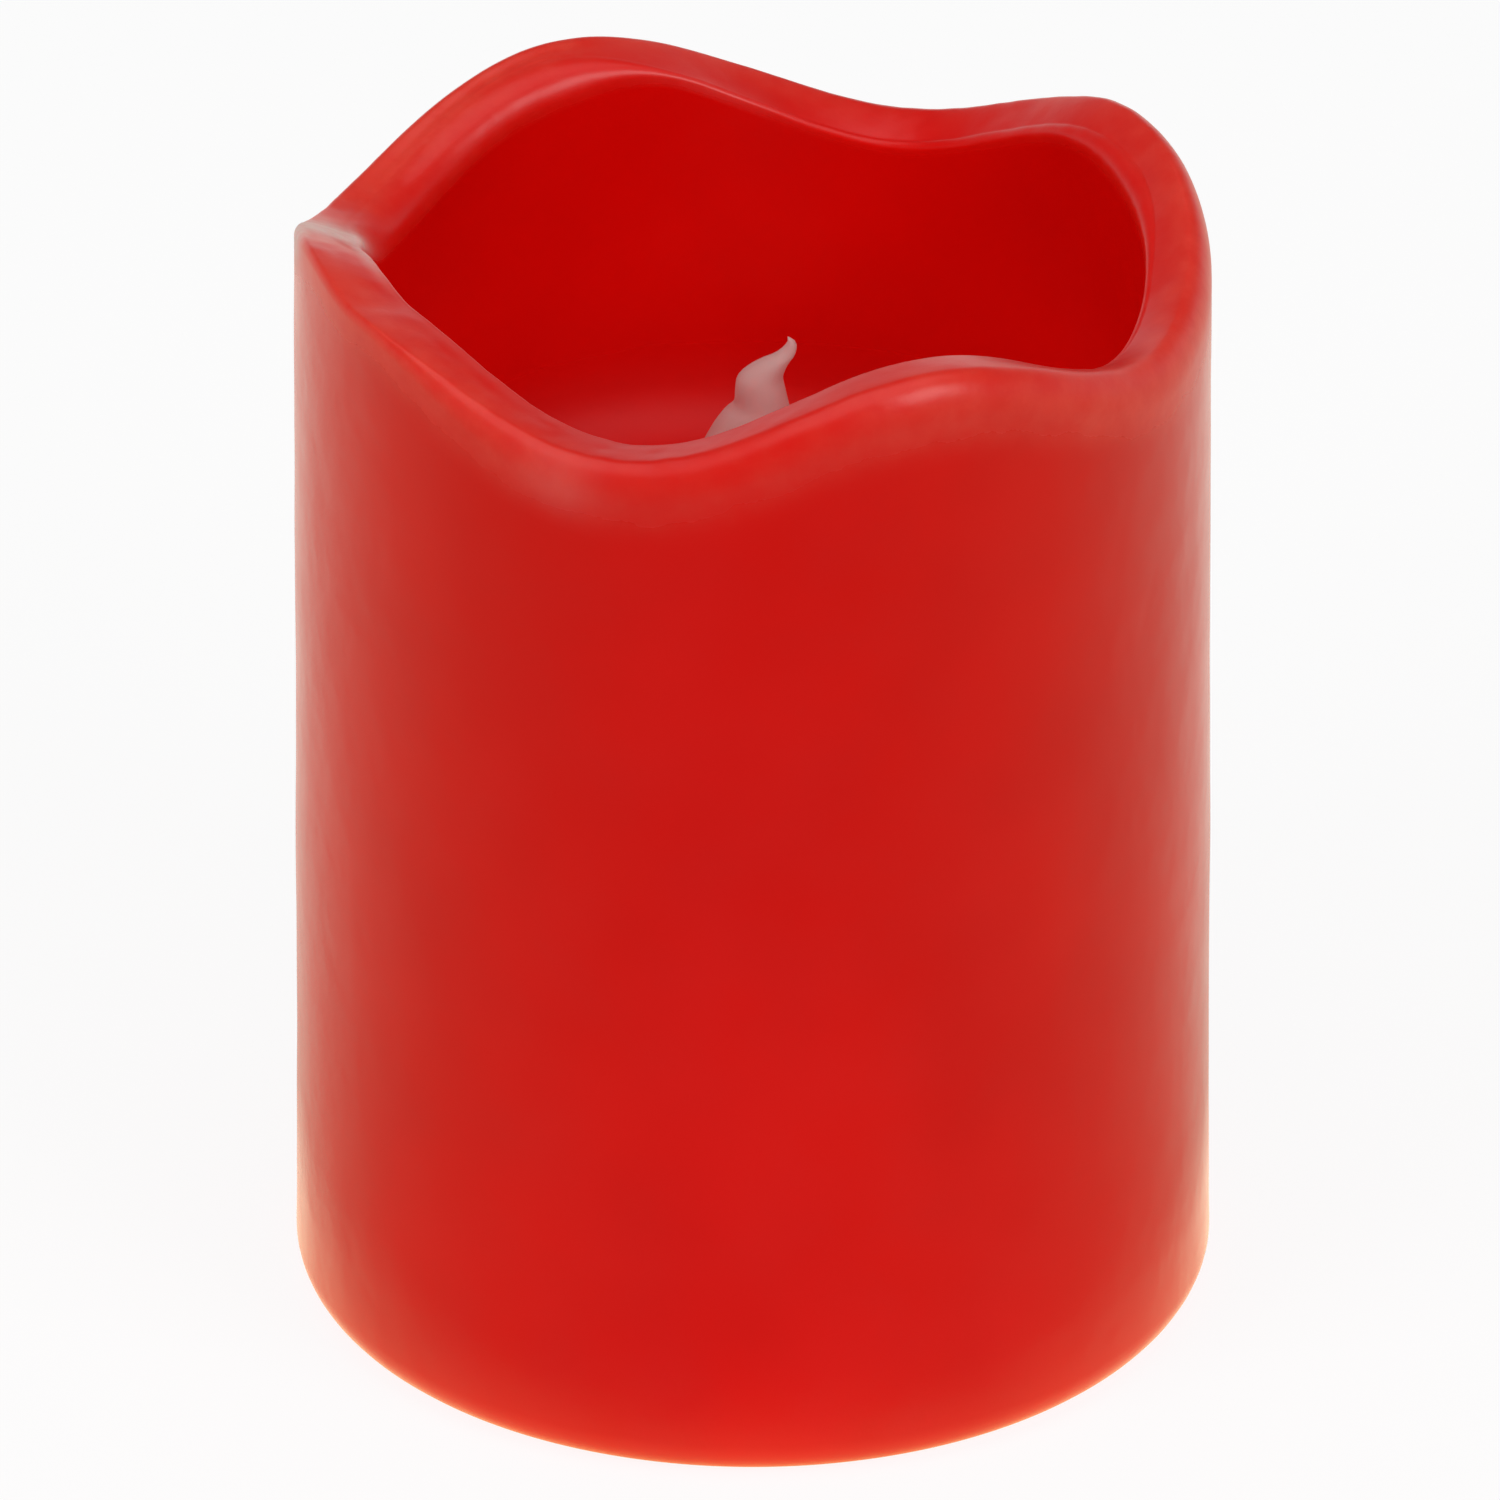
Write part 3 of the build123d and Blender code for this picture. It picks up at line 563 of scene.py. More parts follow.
@dataclass(frozen=True)
class StripedSleeve(Finish):
    """Shrunk capacitor sleeve with a pale polarity stripe and a bare top; lengths are in millimetres."""

    sleeve: Colour = (0.010, 0.014, 0.045)
    stripe: Colour = (0.62, 0.64, 0.66)
    top: Colour = (0.80, 0.80, 0.81)
    stripe_edge: float = -7.5
    top_height: float = 13.6

    def sockets(self, graph: Graph) -> dict[int | str, Input]:
        """Values and links of the Principled shader's sockets, as in Finish."""
        striped = graph.mix(graph.axis("X") < self.stripe_edge, self.sleeve, self.stripe)
        bare = graph.axis("Z") > self.top_height
        return {
            "Base Color": graph.mix(bare, striped, self.top),
            "Metallic": bare * 1.0,
            "Roughness": 0.30 + 0.12 * graph.noise(0.9 * MM),
            "Normal": graph.bump(graph.noise(0.7 * MM), 0.015 * MM),
        }


class Palette(Enum):
    """The finishes of this object, one for each kind of surface."""

    WAX = RedWax("red_wax")
    FLAME = MilkyPlastic("flame_plastic")
    CASE = MouldedPlastic("case_plastic", (0.74, 0.71, 0.64))
    DOOR = MouldedPlastic("door_plastic", (0.76, 0.73, 0.66), 0.42)
    HOLDER = MouldedPlastic("holder_plastic", (0.66, 0.62, 0.53), 0.5)
    SWITCH = MouldedPlastic("switch_plastic", (0.012, 0.012, 0.013), 0.38, 0.25 * MM)
    CHIP = MouldedPlastic("chip_resin", (0.014, 0.014, 0.015), 0.55, 0.15 * MM)
    INSULATOR = MouldedPlastic("insulator_laminate", (0.16, 0.065, 0.022), 0.5)
    NICKEL = DrawnMetal("nickel", (0.72, 0.70, 0.66), 0.18)
    SPRING = DrawnMetal("spring_steel", (0.62, 0.62, 0.63), 0.24, (0.2, 1.0, 1.0))
    ZINC = DrawnMetal("zinc_screw", (0.60, 0.62, 0.64), 0.32, (1.0, 1.0, 1.0))
    CRYSTAL = DrawnMetal("crystal_can", (0.70, 0.70, 0.71), 0.22, (0.15, 1.0, 1.0))
    LAMP = LampEpoxy("lamp_epoxy")
    BOARD = BoardLaminate("board_laminate")
    CAPACITOR = StripedSleeve("capacitor_sleeve")
    RESISTOR = BandedLacquer("resistor_body")
    CELL_RIGHT = CellJacket("cell_jacket_right", 1)
    CELL_LEFT = CellJacket("cell_jacket_left", -1)
    WIRE_RED = SoftInsulation("wire_red", (0.40, 0.012, 0.008))
    WIRE_BLACK = SoftInsulation("wire_black", (0.012, 0.012, 0.012))
    SLEEVE = SoftInsulation("sleeve", (0.015, 0.015, 0.016), 0.55)

    def material(self) -> bpy.types.Material:
        """Material of this finish."""
        return self.value.material()


# ---- mesh helpers ------------------------------------------------------------------------------------
def new_piece(name: str, points: Sequence[Point], faces: Sequence[Sequence[int]], finish: Palette,
              body: str) -> bpy.types.Object:
    """Make a smooth-shaded piece that rides on a body.

    Args:
        name: Name of the piece.
        points: Its points in metres.
        faces: Its faces as point numbers.
        finish: Its finish.
        body: The body that it rides on.

    Returns:
        The new object.
    """
    mesh = bpy.data.meshes.new(name)
    mesh.from_pydata(points, [], faces)
    mesh.update()
    mesh.polygons.foreach_set("use_smooth", [True] * len(mesh.polygons))
    mesh.materials.append(finish.material())
    piece = bpy.data.objects.new(name, mesh)
    bpy.context.scene.collection.objects.link(piece)
    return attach(piece, body)


def point_values(piece: bpy.types.Object, name: str, values: Sequence[float]) -> None:
    """Store a number on each point of a mesh.

    Args:
        piece: The mesh object.
        name: Name of the attribute.
        values: One number for each point.
    """
    attribute = piece.data.attributes.new(name, "FLOAT", "POINT")
    attribute.data.foreach_set("value", list(values))


def grid_faces(rings: int, around: int, closed: bool) -> list[tuple[int, int, int, int]]:
    """Quads between rings of points that each close on themselves.

    Args:
        rings: Number of rings.
        around: Points in each ring.
        closed: Whether the last ring joins the first.

    Returns:
        The faces, wound so that they face out when rings rise and points run anticlockwise.
    """
    last = rings if closed else rings - 1
    return [
        (ring * around + i, ring * around + (i + 1) % around,
         (ring + 1) % rings * around + (i + 1) % around, (ring + 1) % rings * around + i)
        for ring in range(last)
        for i in range(around)
    ]


def ease(share: float) -> float:
    """Share from 0 to 1 with a smooth start and end."""
    return (1 - math.cos(math.pi * min(max(share, 0.0), 1.0))) / 2


@dataclass(frozen=True)
class RoundCurve:
    """A value that runs smoothly round the candle between keys of (angle in degrees, value).

    Angles are counted from the front towards +X.
    """

    keys: tuple[tuple[float, float], ...]

    def at(self, angle: float) -> float:
        """Value at an angle.

        Args:
            angle: Angle in degrees.

        Returns:
            The value, eased between the two nearest keys.
        """
        first_angle, first_value = self.keys[0]
        keys = self.keys + ((first_angle + 360, first_value),)
        turned = (angle - first_angle) % 360 + first_angle
        for (start, low), (end, high) in zip(keys, keys[1:]):
            if turned <= end:
                return low + (high - low) * ease((turned - start) / (end - start))
        return first_value


# ---- wax shell ---------------------------------------------------------------------------------------
@dataclass
class WaxShell:
    """Thick wax pillar with a rounded foot, a deep well and a wavy melted rim."""

    around: int = 400
    well_radius: float = 31.7 * MM
    pocket_radius: float = 32.0 * MM
    cavity_radius: float = 30.0 * MM
    hole_radius: float = 6.5 * MM
    foot_round: float = 3.5 * MM
    meniscus: float = 4.5 * MM
    pocket_top: float = 24.2 * MM
    deck_bottom: float = 54.0 * MM
    deck_top: float = 60.0 * MM
    draft: float = math.radians(0.25)
    height: RoundCurve = RoundCurve((
        (23, 99.35), (68, 91.6), (118, 96.5), (163, 88.5), (207, 95.2), (246, 90.4), (286, 98.2), (301, 97.4),
        (341, 92.3)))
    outer_round: RoundCurve = RoundCurve((
        (0, 2.1), (40, 2.1), (75, 1.9), (120, 1.6), (158, 1.8), (182, 1.0), (210, 1.0), (262, 0.5),
        (300, 0.5), (330, 1.5)))
    inner_round: RoundCurve = RoundCurve((
        (0, 0.35), (60, 0.35), (85, 0.5), (110, 1.6), (140, 0.8), (170, 0.5), (190, 0.5), (212, 2.8),
        (250, 2.8), (268, 0.5), (320, 0.3)))
    inner_drop: RoundCurve = RoundCurve((
        (0, 0.35), (30, 0.35), (75, 1.4), (110, 1.6), (150, 1.5), (190, 0.5), (225, 0.3), (255, 0.6),
        (274, 1.8), (296, 0.7), (325, 0.35)))
    # Strength of the pale rim haze round the candle, set to how bright the rim looks at each angle: partly
    # painted highlight.
    haze_and_highlight_share: RoundCurve = RoundCurve((
        (0, 0.35), (28, 0.8), (75, 1.05), (100, 1.0), (130, 0.7), (155, 0.25), (172, 0.6), (200, 0.8),
        (224, 1.35), (250, 1.1), (300, 1.1), (325, 0.8), (345, 0.35)))
    nicked: RoundCurve = RoundCurve((
        (15, 0.4), (60, 0.2), (140, 1.0), (200, 0.2), (272, 1.6), (300, 0.8), (345, 1.6)))
    groove: RoundCurve = RoundCurve(((150, 0.0), (190, 0.02), (222, 0.12), (245, 0.06), (265, 0.0)))
    round_reach: float = 1.7  # height of the outer rounding over its depth
    slope_power: float = 1.3  # how late the rim's slope towards the well sets in
    haze_and_highlight_width: float = 4.2 * MM
    melt_outside: float = 4.6 * MM
    melt_inside: float = 0.9 * MM
    swell_back: float = 0.10 * MM
    broad_swell: tuple[float, float] = (16 * MM, 0.09 * MM)  # size and depth, as in the next three
    fine_swell: tuple[float, float] = (6 * MM, 0.03 * MM)
    ripple: tuple[float, float] = (4.5 * MM, 0.07 * MM)
    nick: tuple[float, float] = (1.5 * MM, 0.05 * MM)
    foot_calm: tuple[float, float] = (1 * MM, 6 * MM)  # start and length of the swell's rise above the foot
    well_calm: float = 8 * MM
    points: list[Point] = field(default_factory=list)
    marks: dict[str, list[float]] = field(
        default_factory=lambda: {"melt": [], "pale": [], "scuff": [], "inside": []})

    def build(self) -> bpy.types.Object:
        """Build the shell and let it stand for its node.

        Returns:
            The shell's object.
        """
        low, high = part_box("wax_shell")
        self.base_radius = (high.x - low.x) / 2 + self.foot_round * math.tan(self.draft)
        sections = [self.section(360 * i / self.around) for i in range(self.around)]
        rings = len(sections[0])
        for ring in range(rings):
            for i, section in enumerate(sections):
                self.add_point(360 * i / self.around, *section[ring])
        faces = grid_faces(rings, self.around, closed=True)
        shell = new_piece("wax_body", self.points, faces, Palette.WAX, "candle")
        for name, values in self.marks.items():
            point_values(shell, name, values)
        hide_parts("wax_shell")
        return shell

    def add_point(self, angle: float, radius: float, height: float, melt: float) -> None:
        """Add one point of the shell, with its slight unevenness.

        Args:
            angle: Angle from the front in degrees.
            radius: Distance from the axis.
            height: Height above the foot.
            melt: 1 on the melted rim, 0 away from it.
        """
        turn = math.radians(angle)
        out = Vector((math.sin(turn), -math.cos(turn), 0.0))
        base = Vector((0.0, 0.0, height)) + out * radius
        wall = self.wall_share(radius, height)
        swell = self.uneven(base, self.broad_swell) + self.uneven(base, self.fine_swell)
        ripple = self.uneven(base, self.ripple, Vector((7.0, 3.0, 1.0)))
        nick = self.uneven(base, self.nick, Vector((2.0, 9.0, 4.0)))
        lift = (ripple + nick * self.nicked.at(angle)) * melt
        moved = base + out * ((swell - self.swell_back) * wall) + Vector((0.0, 0.0, lift))
        self.points.append(tuple(moved))
        self.marks["melt"].append(melt)
        # The pale rim haze, partly painted highlight, grows towards the outer edge.
        outward = ease((radius - self.well_radius) / self.haze_and_highlight_width)
        self.marks["pale"].append(melt * self.haze_and_highlight_share.at(angle) * (0.2 + 0.8 * outward))
        # Pale patches of scraped wax with painted glare and painted highlight lines.
        self.marks["scuff"].append(self.scrape_and_glare_at(angle, radius, height, melt))
        self.marks["inside"].append(float(radius < self.well_radius + 0.3 * MM and height > self.deck_bottom))

    @staticmethod
    def uneven(place: Vector, wave: tuple[float, float], moved: Vector = Vector()) -> float:
        """Unevenness of the wax at a place.

        Args:
            place: The place in metres.
            wave: Size and depth of the unevenness.
            moved: Shift of the noise, so that two of the same size differ.

        Returns:
            The distance by which the surface stands out.
        """
        size, depth = wave
        return noise.noise(place / size + moved) * depth

    def wall_share(self, radius: float, height: float) -> float:
        """How much of the wall's unevenness a point takes: none on the foot, the hole and hidden faces."""
        if radius > self.base_radius - 3 * MM:
            start, length = self.foot_calm
            return ease((height - start) / length)
        return ease((height - self.deck_top - self.meniscus) / self.well_calm)

    @staticmethod
    def scrape_and_glare_at(angle: float, radius: float, height: float, melt: float) -> float:
        """Strength of the pale scrapes and of the painted glare and highlight lines at a point.

        Args:
            angle: Angle from the front in degrees.
            radius: Distance from the axis.
            height: Height above the foot.
            melt: 1 on the melted rim.

        Returns:
            A value from 0 to 1.
        """
        inner = ease((33.4 * MM - radius) / (1.4 * MM))
        outer = ease((radius - 35.6 * MM) / (1.2 * MM))
        # The left-corner patches are partly scraped wax and partly painted glare; the thin ones along the
        # inner and outer edges are painted highlight lines.
        patches = (
            (266, 8.0, 1.3 - 0.3 * inner), (281, 10.0, 0.7 * inner), (276, 4.0, 0.8 * outer),
            (142, 13.0, 0.14 * outer), (318, 22.0, 0.05 * inner), (25, 22.0, 0.06 * inner),
            (186, 9.0, 0.05 * inner), (335, 5.0, 0.07 * outer))
        worn = melt * sum(share * math.exp(-(((angle - at) / wide) ** 2)) for at, wide, share in patches)
        return min(1.0, worn)

    def section(self, angle: float) -> list[tuple[float, float, float]]:
        """Closed profile of the wall at one angle.

        Args:
            angle: Angle from the front in degrees.

        Returns:
            Points of (radius, height, melt), from the foot up the outside, over the rim and down the inside.
        """
        top = self.height.at(angle) * MM
        profile = self.foot()
        profile += self.outer_wall(top - self.round_reach * self.outer_round.at(angle) * MM)
        profile += self.rim(angle, top)
        inner_top = profile[-1][1]
        profile += self.inner_wall(inner_top)
        profile += self.underside()
        return profile

    def outer_radius(self, height: float) -> float:
        """Radius of the outside at a height, with the draft taken off."""
        return self.base_radius - height * math.tan(self.draft)

    def foot(self) -> list[tuple[float, float, float]]:
        """Foot ring and its rounded outer edge."""
        steps = 10
        centre = self.base_radius - self.foot_round
        flat = [(self.pocket_radius, 0.0, 0.0), ((self.pocket_radius + centre) / 2, 0.0, 0.0)]
        arc = []
        for step in range(steps):
            turn = math.pi / 2 * step / steps
            rise = self.foot_round * (1 - math.cos(turn))
            arc.append((centre + self.foot_round * math.sin(turn), rise, 0.0))
        return flat + arc

    def outer_wall(self, top: float) -> list[tuple[float, float, float]]:
        """Outside of the wall up to where the rim starts to round.

        Args:
            top: Height of the last point.

        Returns:
            Points of (radius, height, melt).
        """
        steps = 56
        points = []
        for step in range(steps):
            share = 1 - (1 - step / steps) ** 1.5
            height = self.foot_round + share * (top - self.foot_round)
            melt = ease(1 - (top - height) / self.melt_outside) ** 1.6
            points.append((self.outer_radius(height), height, melt))
        return points

    def rim(self, angle: float, top: float) -> list[tuple[float, float, float]]:
        """Melted top: outer rounding, a level band, a slope inwards and the inner edge.

        Args:
            angle: Angle from the front in degrees.
            top: Height of the rim's crest.

        Returns:
            Points of (radius, height, melt).
        """
        outer, inner = self.outer_round.at(angle) * MM, self.inner_round.at(angle) * MM
        drop = self.inner_drop.at(angle) * MM
        points = []
        arc_steps, band_steps = 14, 22
        for step in range(arc_steps):
            turn = math.pi / 2 * step / arc_steps
            height = top - self.round_reach * outer * (1 - math.sin(turn))
            points.append((self.outer_radius(height) - outer * (1 - math.cos(turn)), height, 1.0))
        start, end = self.outer_radius(top) - outer, self.well_radius + inner
        for step in range(band_steps):
            share = step / band_steps
            dish = self.groove.at(angle) * MM * math.sin(math.pi * share) ** 2
            points.append((start + share * (end - start), top - drop * share ** self.slope_power - dish, 1.0))
        for step in range(arc_steps + 1):
            turn = math.pi / 2 * step / arc_steps
            height = top - drop - inner * (1 - math.cos(turn))
            points.append((end - inner * math.sin(turn), height, 1.0))
        return points

    def inner_wall(self, top: float) -> list[tuple[float, float, float]]:
        """Inside of the well down to the deck's lamp hole.

        Args:
            top: Height where the inside starts.

        Returns:
            Points of (radius, height, melt).
        """
        steps, arc_steps, deck_steps = 30, 14, 14
        bottom = self.deck_top + self.meniscus
        points = []
        for step in range(1, steps):
            height = top - (top - bottom) * step / steps
            points.append((self.well_radius, height, 0.5 * ease(1 - (top - height) / self.melt_inside)))
        centre = self.well_radius - self.meniscus
        for step in range(arc_steps):
            turn = math.pi / 2 * step / arc_steps
            radius = centre + self.meniscus * math.cos(turn)
            points.append((radius, bottom - self.meniscus * math.sin(turn), 0.0))
        for step in range(deck_steps + 1):
            radius = centre + (self.hole_radius - centre) * step / deck_steps
            points.append((radius, self.deck_top, 0.0))
        return points

    def underside(self) -> list[tuple[float, float, float]]:
        """Lamp hole, cavity and pocket, as far as the foot ring."""
        corners = (
            (self.hole_radius, self.deck_bottom), (self.cavity_radius, self.deck_bottom),
            (self.cavity_radius, self.pocket_top), (self.pocket_radius, self.pocket_top))
        points = []
        edge = 0.05 * MM
        for radius, height in corners:
            points += [(radius, height + edge, 0.0), (radius, height, 0.0)]
        return points + [(self.pocket_radius, edge, 0.0)]


# ---- flame tip ---------------------------------------------------------------------------------------
@dataclass
class FlameTip:
    """Hollow tongue of milky plastic that leans and hooks to one side."""

    around: int = 56
    steps: int = 70
    bore_radius: float = 3.1 * MM
    bore_top: float = 6.0 * MM
    cone_top: float = 11.0 * MM
    cone_radius: float = 1.2 * MM
    flute_depth: float = 0.025
    flute_turn: float = 0.25  # radians of twist for each millimetre of height
    flute_fade: float = 6.0
    # height above the foot, middle in X, half width in X, half depth in Y, all in millimetres
    sections: tuple[tuple[float, float, float, float], ...] = (
        (0.0, 0.0, 4.6, 4.6), (2.0, -0.1, 5.4, 5.0), (4.6, -0.3, 6.1, 5.2), (8.5, -0.4, 6.2, 5.0),
        (12.0, -0.3, 5.6, 4.5), (14.4, -0.1, 4.5, 3.8), (16.2, 0.05, 3.75, 3.2), (17.4, 0.2, 3.25, 2.8),
        (18.4, 0.4, 2.75, 2.5), (19.2, 0.7, 2.25, 2.2), (20.6, 0.62, 2.02, 1.9), (21.6, 0.6, 1.85, 1.6),
        (22.4, 1.05, 1.6, 1.3), (23.1, 1.75, 1.25, 1.0), (23.6, 2.45, 0.9, 0.75), (24.2, 2.9, 0.62, 0.5),
        (24.7, 3.1, 0.4, 0.35), (25.1, 3.05, 0.2, 0.2), (25.3, 2.85, 0.06, 0.06))

    def build(self) -> bpy.types.Object:
        """Build the tip over its lamp and let it stand for its node.

        Returns:
            The tip's object.
        """
        low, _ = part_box("flame_tip")
        rings = [self.ring(low.z, step / self.steps) for step in range(self.steps + 1)]
        inner = (
            (0.0, self.bore_radius), (self.bore_top, self.bore_radius), (self.cone_top, self.cone_radius))
        bore = [self.circle(radius, low.z + height) for height, radius in inner]
        points = [point for ring in bore[::-1] + rings for point in ring]
        count = len(bore) + len(rings)
        faces: list[tuple[int, ...]] = list(grid_faces(count, self.around, closed=False))
        faces.append(tuple(range(self.around))[::-1])
        faces.append(tuple((count - 1) * self.around + i for i in range(self.around)))
        tip = new_piece("flame_tongue", points, faces, Palette.FLAME, "candle")
        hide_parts("flame_tip")
        return tip

    def shape_at(self, height: float) -> tuple[float, float, float]:
        """Middle, half width and half depth at a height, on a smooth curve through the sections.

        Args:
            height: Height above the foot in millimetres.

        Returns:
            The three sizes in millimetres.
        """
        keys = self.sections
        last = len(keys) - 2
        index = max(i for i in range(last + 1) if keys[i][0] <= height or i == 0)
        first, second = keys[index], keys[index + 1]
        share = (height - first[0]) / (second[0] - first[0])
        before, after = keys[max(index - 1, 0)], keys[min(index + 2, last + 1)]
        sizes = []
        for column in (1, 2, 3):
            run = second[0] - first[0]
            slope_in = run * (second[column] - before[column]) / max(second[0] - before[0], 1e-6)
            slope_out = run * (after[column] - first[column]) / max(after[0] - first[0], 1e-6)
            square, cube = share * share, share ** 3
            sizes.append(
                (2 * cube - 3 * square + 1) * first[column] + (cube - 2 * square + share) * slope_in
                + (3 * square - 2 * cube) * second[column] + (cube - square) * slope_out)
        return sizes[0], max(sizes[1], 0.02), max(sizes[2], 0.02)

    def ring(self, foot: float, share: float) -> list[Point]:
        """One ring of the outside.

        Args:
            foot: Height of the foot in metres.
            share: Place from the foot, 0, to the tip, 1.

        Returns:
            The ring's points.
        """
        top = self.sections[-1][0]
        height = top * share
        middle, width, depth = self.shape_at(height)
        fluting = self.flute_depth * ease(height / self.flute_fade) * ease((top - height) / self.flute_fade)
        points = []
        for i in range(self.around):
            turn = 2 * math.pi * i / self.around
            flute = 1 + fluting * math.sin(3 * turn + self.flute_turn * height)
            points.append((
                (middle + width * flute * math.cos(turn)) * MM,
                depth * flute * math.sin(turn) * MM,
                foot + height * MM))
        return points

    def circle(self, radius: float, height: float) -> list[Point]:
        """One ring of the bore.

        Args:
            radius: Radius of the ring.
            height: Height of the ring.

        Returns:
            The ring's points.
        """
        turns = [2 * math.pi * i / self.around for i in range(self.around)]
        return [(radius * math.cos(turn), radius * math.sin(turn), height) for turn in turns]


# ---- dressing of the carried-over nodes ----------------------------------------------------------------
@dataclass
class Insert:
    """Battery insert, switch, board, lamp and cells, which keep the frame's shapes."""

    finishes: dict[str, Palette] = field(default_factory=lambda: {
        "base_case": Palette.CASE, "top_cover": Palette.CASE, "battery_door": Palette.DOOR,
        "led_holder": Palette.HOLDER, "led_lamp": Palette.LAMP, "led_legs": Palette.NICKEL,
        "led_sleeves": Palette.SLEEVE, "circuit_board": Palette.BOARD, "timer_chip": Palette.CHIP,
        "capacitor": Palette.CAPACITOR, "timing_crystal": Palette.CRYSTAL, "resistor": Palette.RESISTOR,
        "switch_frame": Palette.NICKEL, "switch_insulator": Palette.INSULATOR, "switch_pins": Palette.NICKEL,
        "switch_lever": Palette.SWITCH, "switch_knob": Palette.SWITCH, "cell_1": Palette.CELL_RIGHT,
        "cell_2": Palette.CELL_LEFT, "cell_3": Palette.CELL_RIGHT, "positive_terminal": Palette.NICKEL,
        "negative_terminal": Palette.NICKEL, "bridge_contact_right": Palette.NICKEL,
        "bridge_contact_left": Palette.NICKEL, "contact_spring_1": Palette.SPRING,
        "contact_spring_2": Palette.SPRING, "contact_spring_3": Palette.SPRING,
        "base_screws": Palette.ZINC, "board_screws": Palette.ZINC,
        "battery_wire_positive": Palette.WIRE_RED, "battery_wire_negative": Palette.WIRE_BLACK,
        "led_wire_positive": Palette.WIRE_RED, "led_wire_negative": Palette.WIRE_BLACK})

    def dress(self, nodes: dict[str, bpy.types.Object]) -> int:
        """Give each node its finish.

        Args:
            nodes: The frame's nodes by name.

        Returns:
            How many nodes were dressed.
        """
        for name, finish in self.finishes.items():
            materials = nodes[name].data.materials
            materials.clear()
            materials.append(finish.material())
        return len(self.finishes)


# ---- raised marks ------------------------------------------------------------------------------------
@dataclass
class RaisedMarks:
    """Plain signs moulded proud of the underside: ring, bar and clock by the switch, arrow on the door."""

    level: float = 1.5 * MM
    height: float = 0.3 * MM
    edge: float = 0.07 * MM
    root: float = 0.02 * MM
    ring_width: float = 0.4 * MM
    points: list[Point] = field(default_factory=list)
    faces: list[tuple[int, ...]] = field(default_factory=list)

    def build(self) -> int:
        """Build the marks of the base and of the door.

        Returns:
            How many pieces were made.
        """
        self.ring(0.0, 26.6, 1.15)
        self.bar(-6.6, 22.9, 2.2, 0.5, 90)
        self.ring(6.9, 22.9, 1.25)
        self.bar(6.9, 23.25, 0.7, 0.24, 90)
        self.bar(7.1, 22.9, 0.6, 0.24, 0, 0.9)
        self.finish("switch_marks", Palette.CASE, "case_plastic", "candle")
        self.bar(0.0, 1.0, 7.0, 0.8, 90)
        self.bar(-1.15, -1.25, 4.0, 0.8, 130, 0.9)
        self.bar(1.15, -1.25, 4.0, 0.8, 50, 0.8)
        self.finish("door_arrow", Palette.DOOR, "door_plastic", "door")
        return 2

    def finish(self, name: str, finish: Palette, slot: str, body: str) -> None:
        """Turn the gathered marks into one piece and start afresh."""
        new_piece(name, self.points, self.faces, finish, body)
        self.points, self.faces = [], []

    def layers(self, outline: Callable[[float], list[tuple[float, float]]], proud: float) -> list[Point]:
        """Outlines of a mark from its root up to its blunted face.

        Args:
            outline: Gives the flat outline drawn in by a distance in metres.
            proud: Share of the full height.

        Returns:
            The points, root first.
        """
        low = self.level - self.height * proud
        rise = (
            (self.level + self.root, 0.0), (low + self.edge, 0.0), (low + 0.3 * self.edge, 0.3 * self.edge),
            (low, self.edge))
        return [(x, y, z) for z, inset in rise for x, y in outline(inset)]

    @staticmethod
    def shifted(faces: Iterable[Sequence[int]], first: int) -> list[tuple[int, ...]]:
        """Faces with a first point's number added."""
        return [tuple(first + i for i in face) for face in faces]

    def bar(self, x: float, y: float, length: float, width: float, turned: float, proud: float = 1.0) -> None:
        """Add a bar with round ends.

        Args:
            x: Middle in X, in millimetres.
            y: Middle in Y, in millimetres.
            length: Overall length in millimetres.
            width: Width in millimetres.
            turned: Turn from +X in degrees.
            proud: Share of the full height.
        """
        turn, steps = math.radians(turned), 8

        def outline(inset: float) -> list[tuple[float, float]]:
            """Outline drawn in by a distance, clockwise from above."""
            radius, reach = width / 2 * MM - inset, (length - width) / 2 * MM
            loop = []
            for end in (1, -1):
                for step in range(steps + 1):
                    swing = -math.pi * step / steps + end * math.pi / 2
                    loop.append((end * reach + radius * math.cos(swing), radius * math.sin(swing)))
            return [(x * MM + u * math.cos(turn) - v * math.sin(turn),
                     y * MM + u * math.sin(turn) + v * math.cos(turn)) for u, v in loop]

        first, around = len(self.points), 2 * (steps + 1)
        self.points += self.layers(outline, proud)
        layers = (len(self.points) - first) // around
        sides = grid_faces(layers, around, closed=False)
        caps = [tuple(range(around))[::-1], tuple((layers - 1) * around + i for i in range(around))]
        self.faces += self.shifted(sides + caps, first)

    def ring(self, x: float, y: float, radius: float) -> None:
        """Add a ring.

        Args:
            x: Middle in X, in millimetres.
            y: Middle in Y, in millimetres.
            radius: Radius of its middle line in millimetres.
        """
        around, half, low = 40, self.ring_width / 2, self.level - self.height
        root = self.level + self.root
        profile = (
            (half, root), (half, low + self.edge), (half - self.edge, low), (self.edge - half, low),
            (-half, low + self.edge), (-half, root))
        first = len(self.points)
        for out, z in profile:
            for i in range(around):
                turn = -2 * math.pi * i / around
                reach = radius * MM + out
                self.points.append((x * MM + reach * math.cos(turn), y * MM + reach * math.sin(turn), z))
        self.faces += self.shifted(grid_faces(len(profile), around, closed=True), first)


# ---- stage -------------------------------------------------------------------------------------------
@dataclass(frozen=True)
class Softbox:
    """A square soft light; glossy surfaces show it where mirrored is true."""

    name: str
    place: Point
    size: float
    power: float
    mirrored: bool


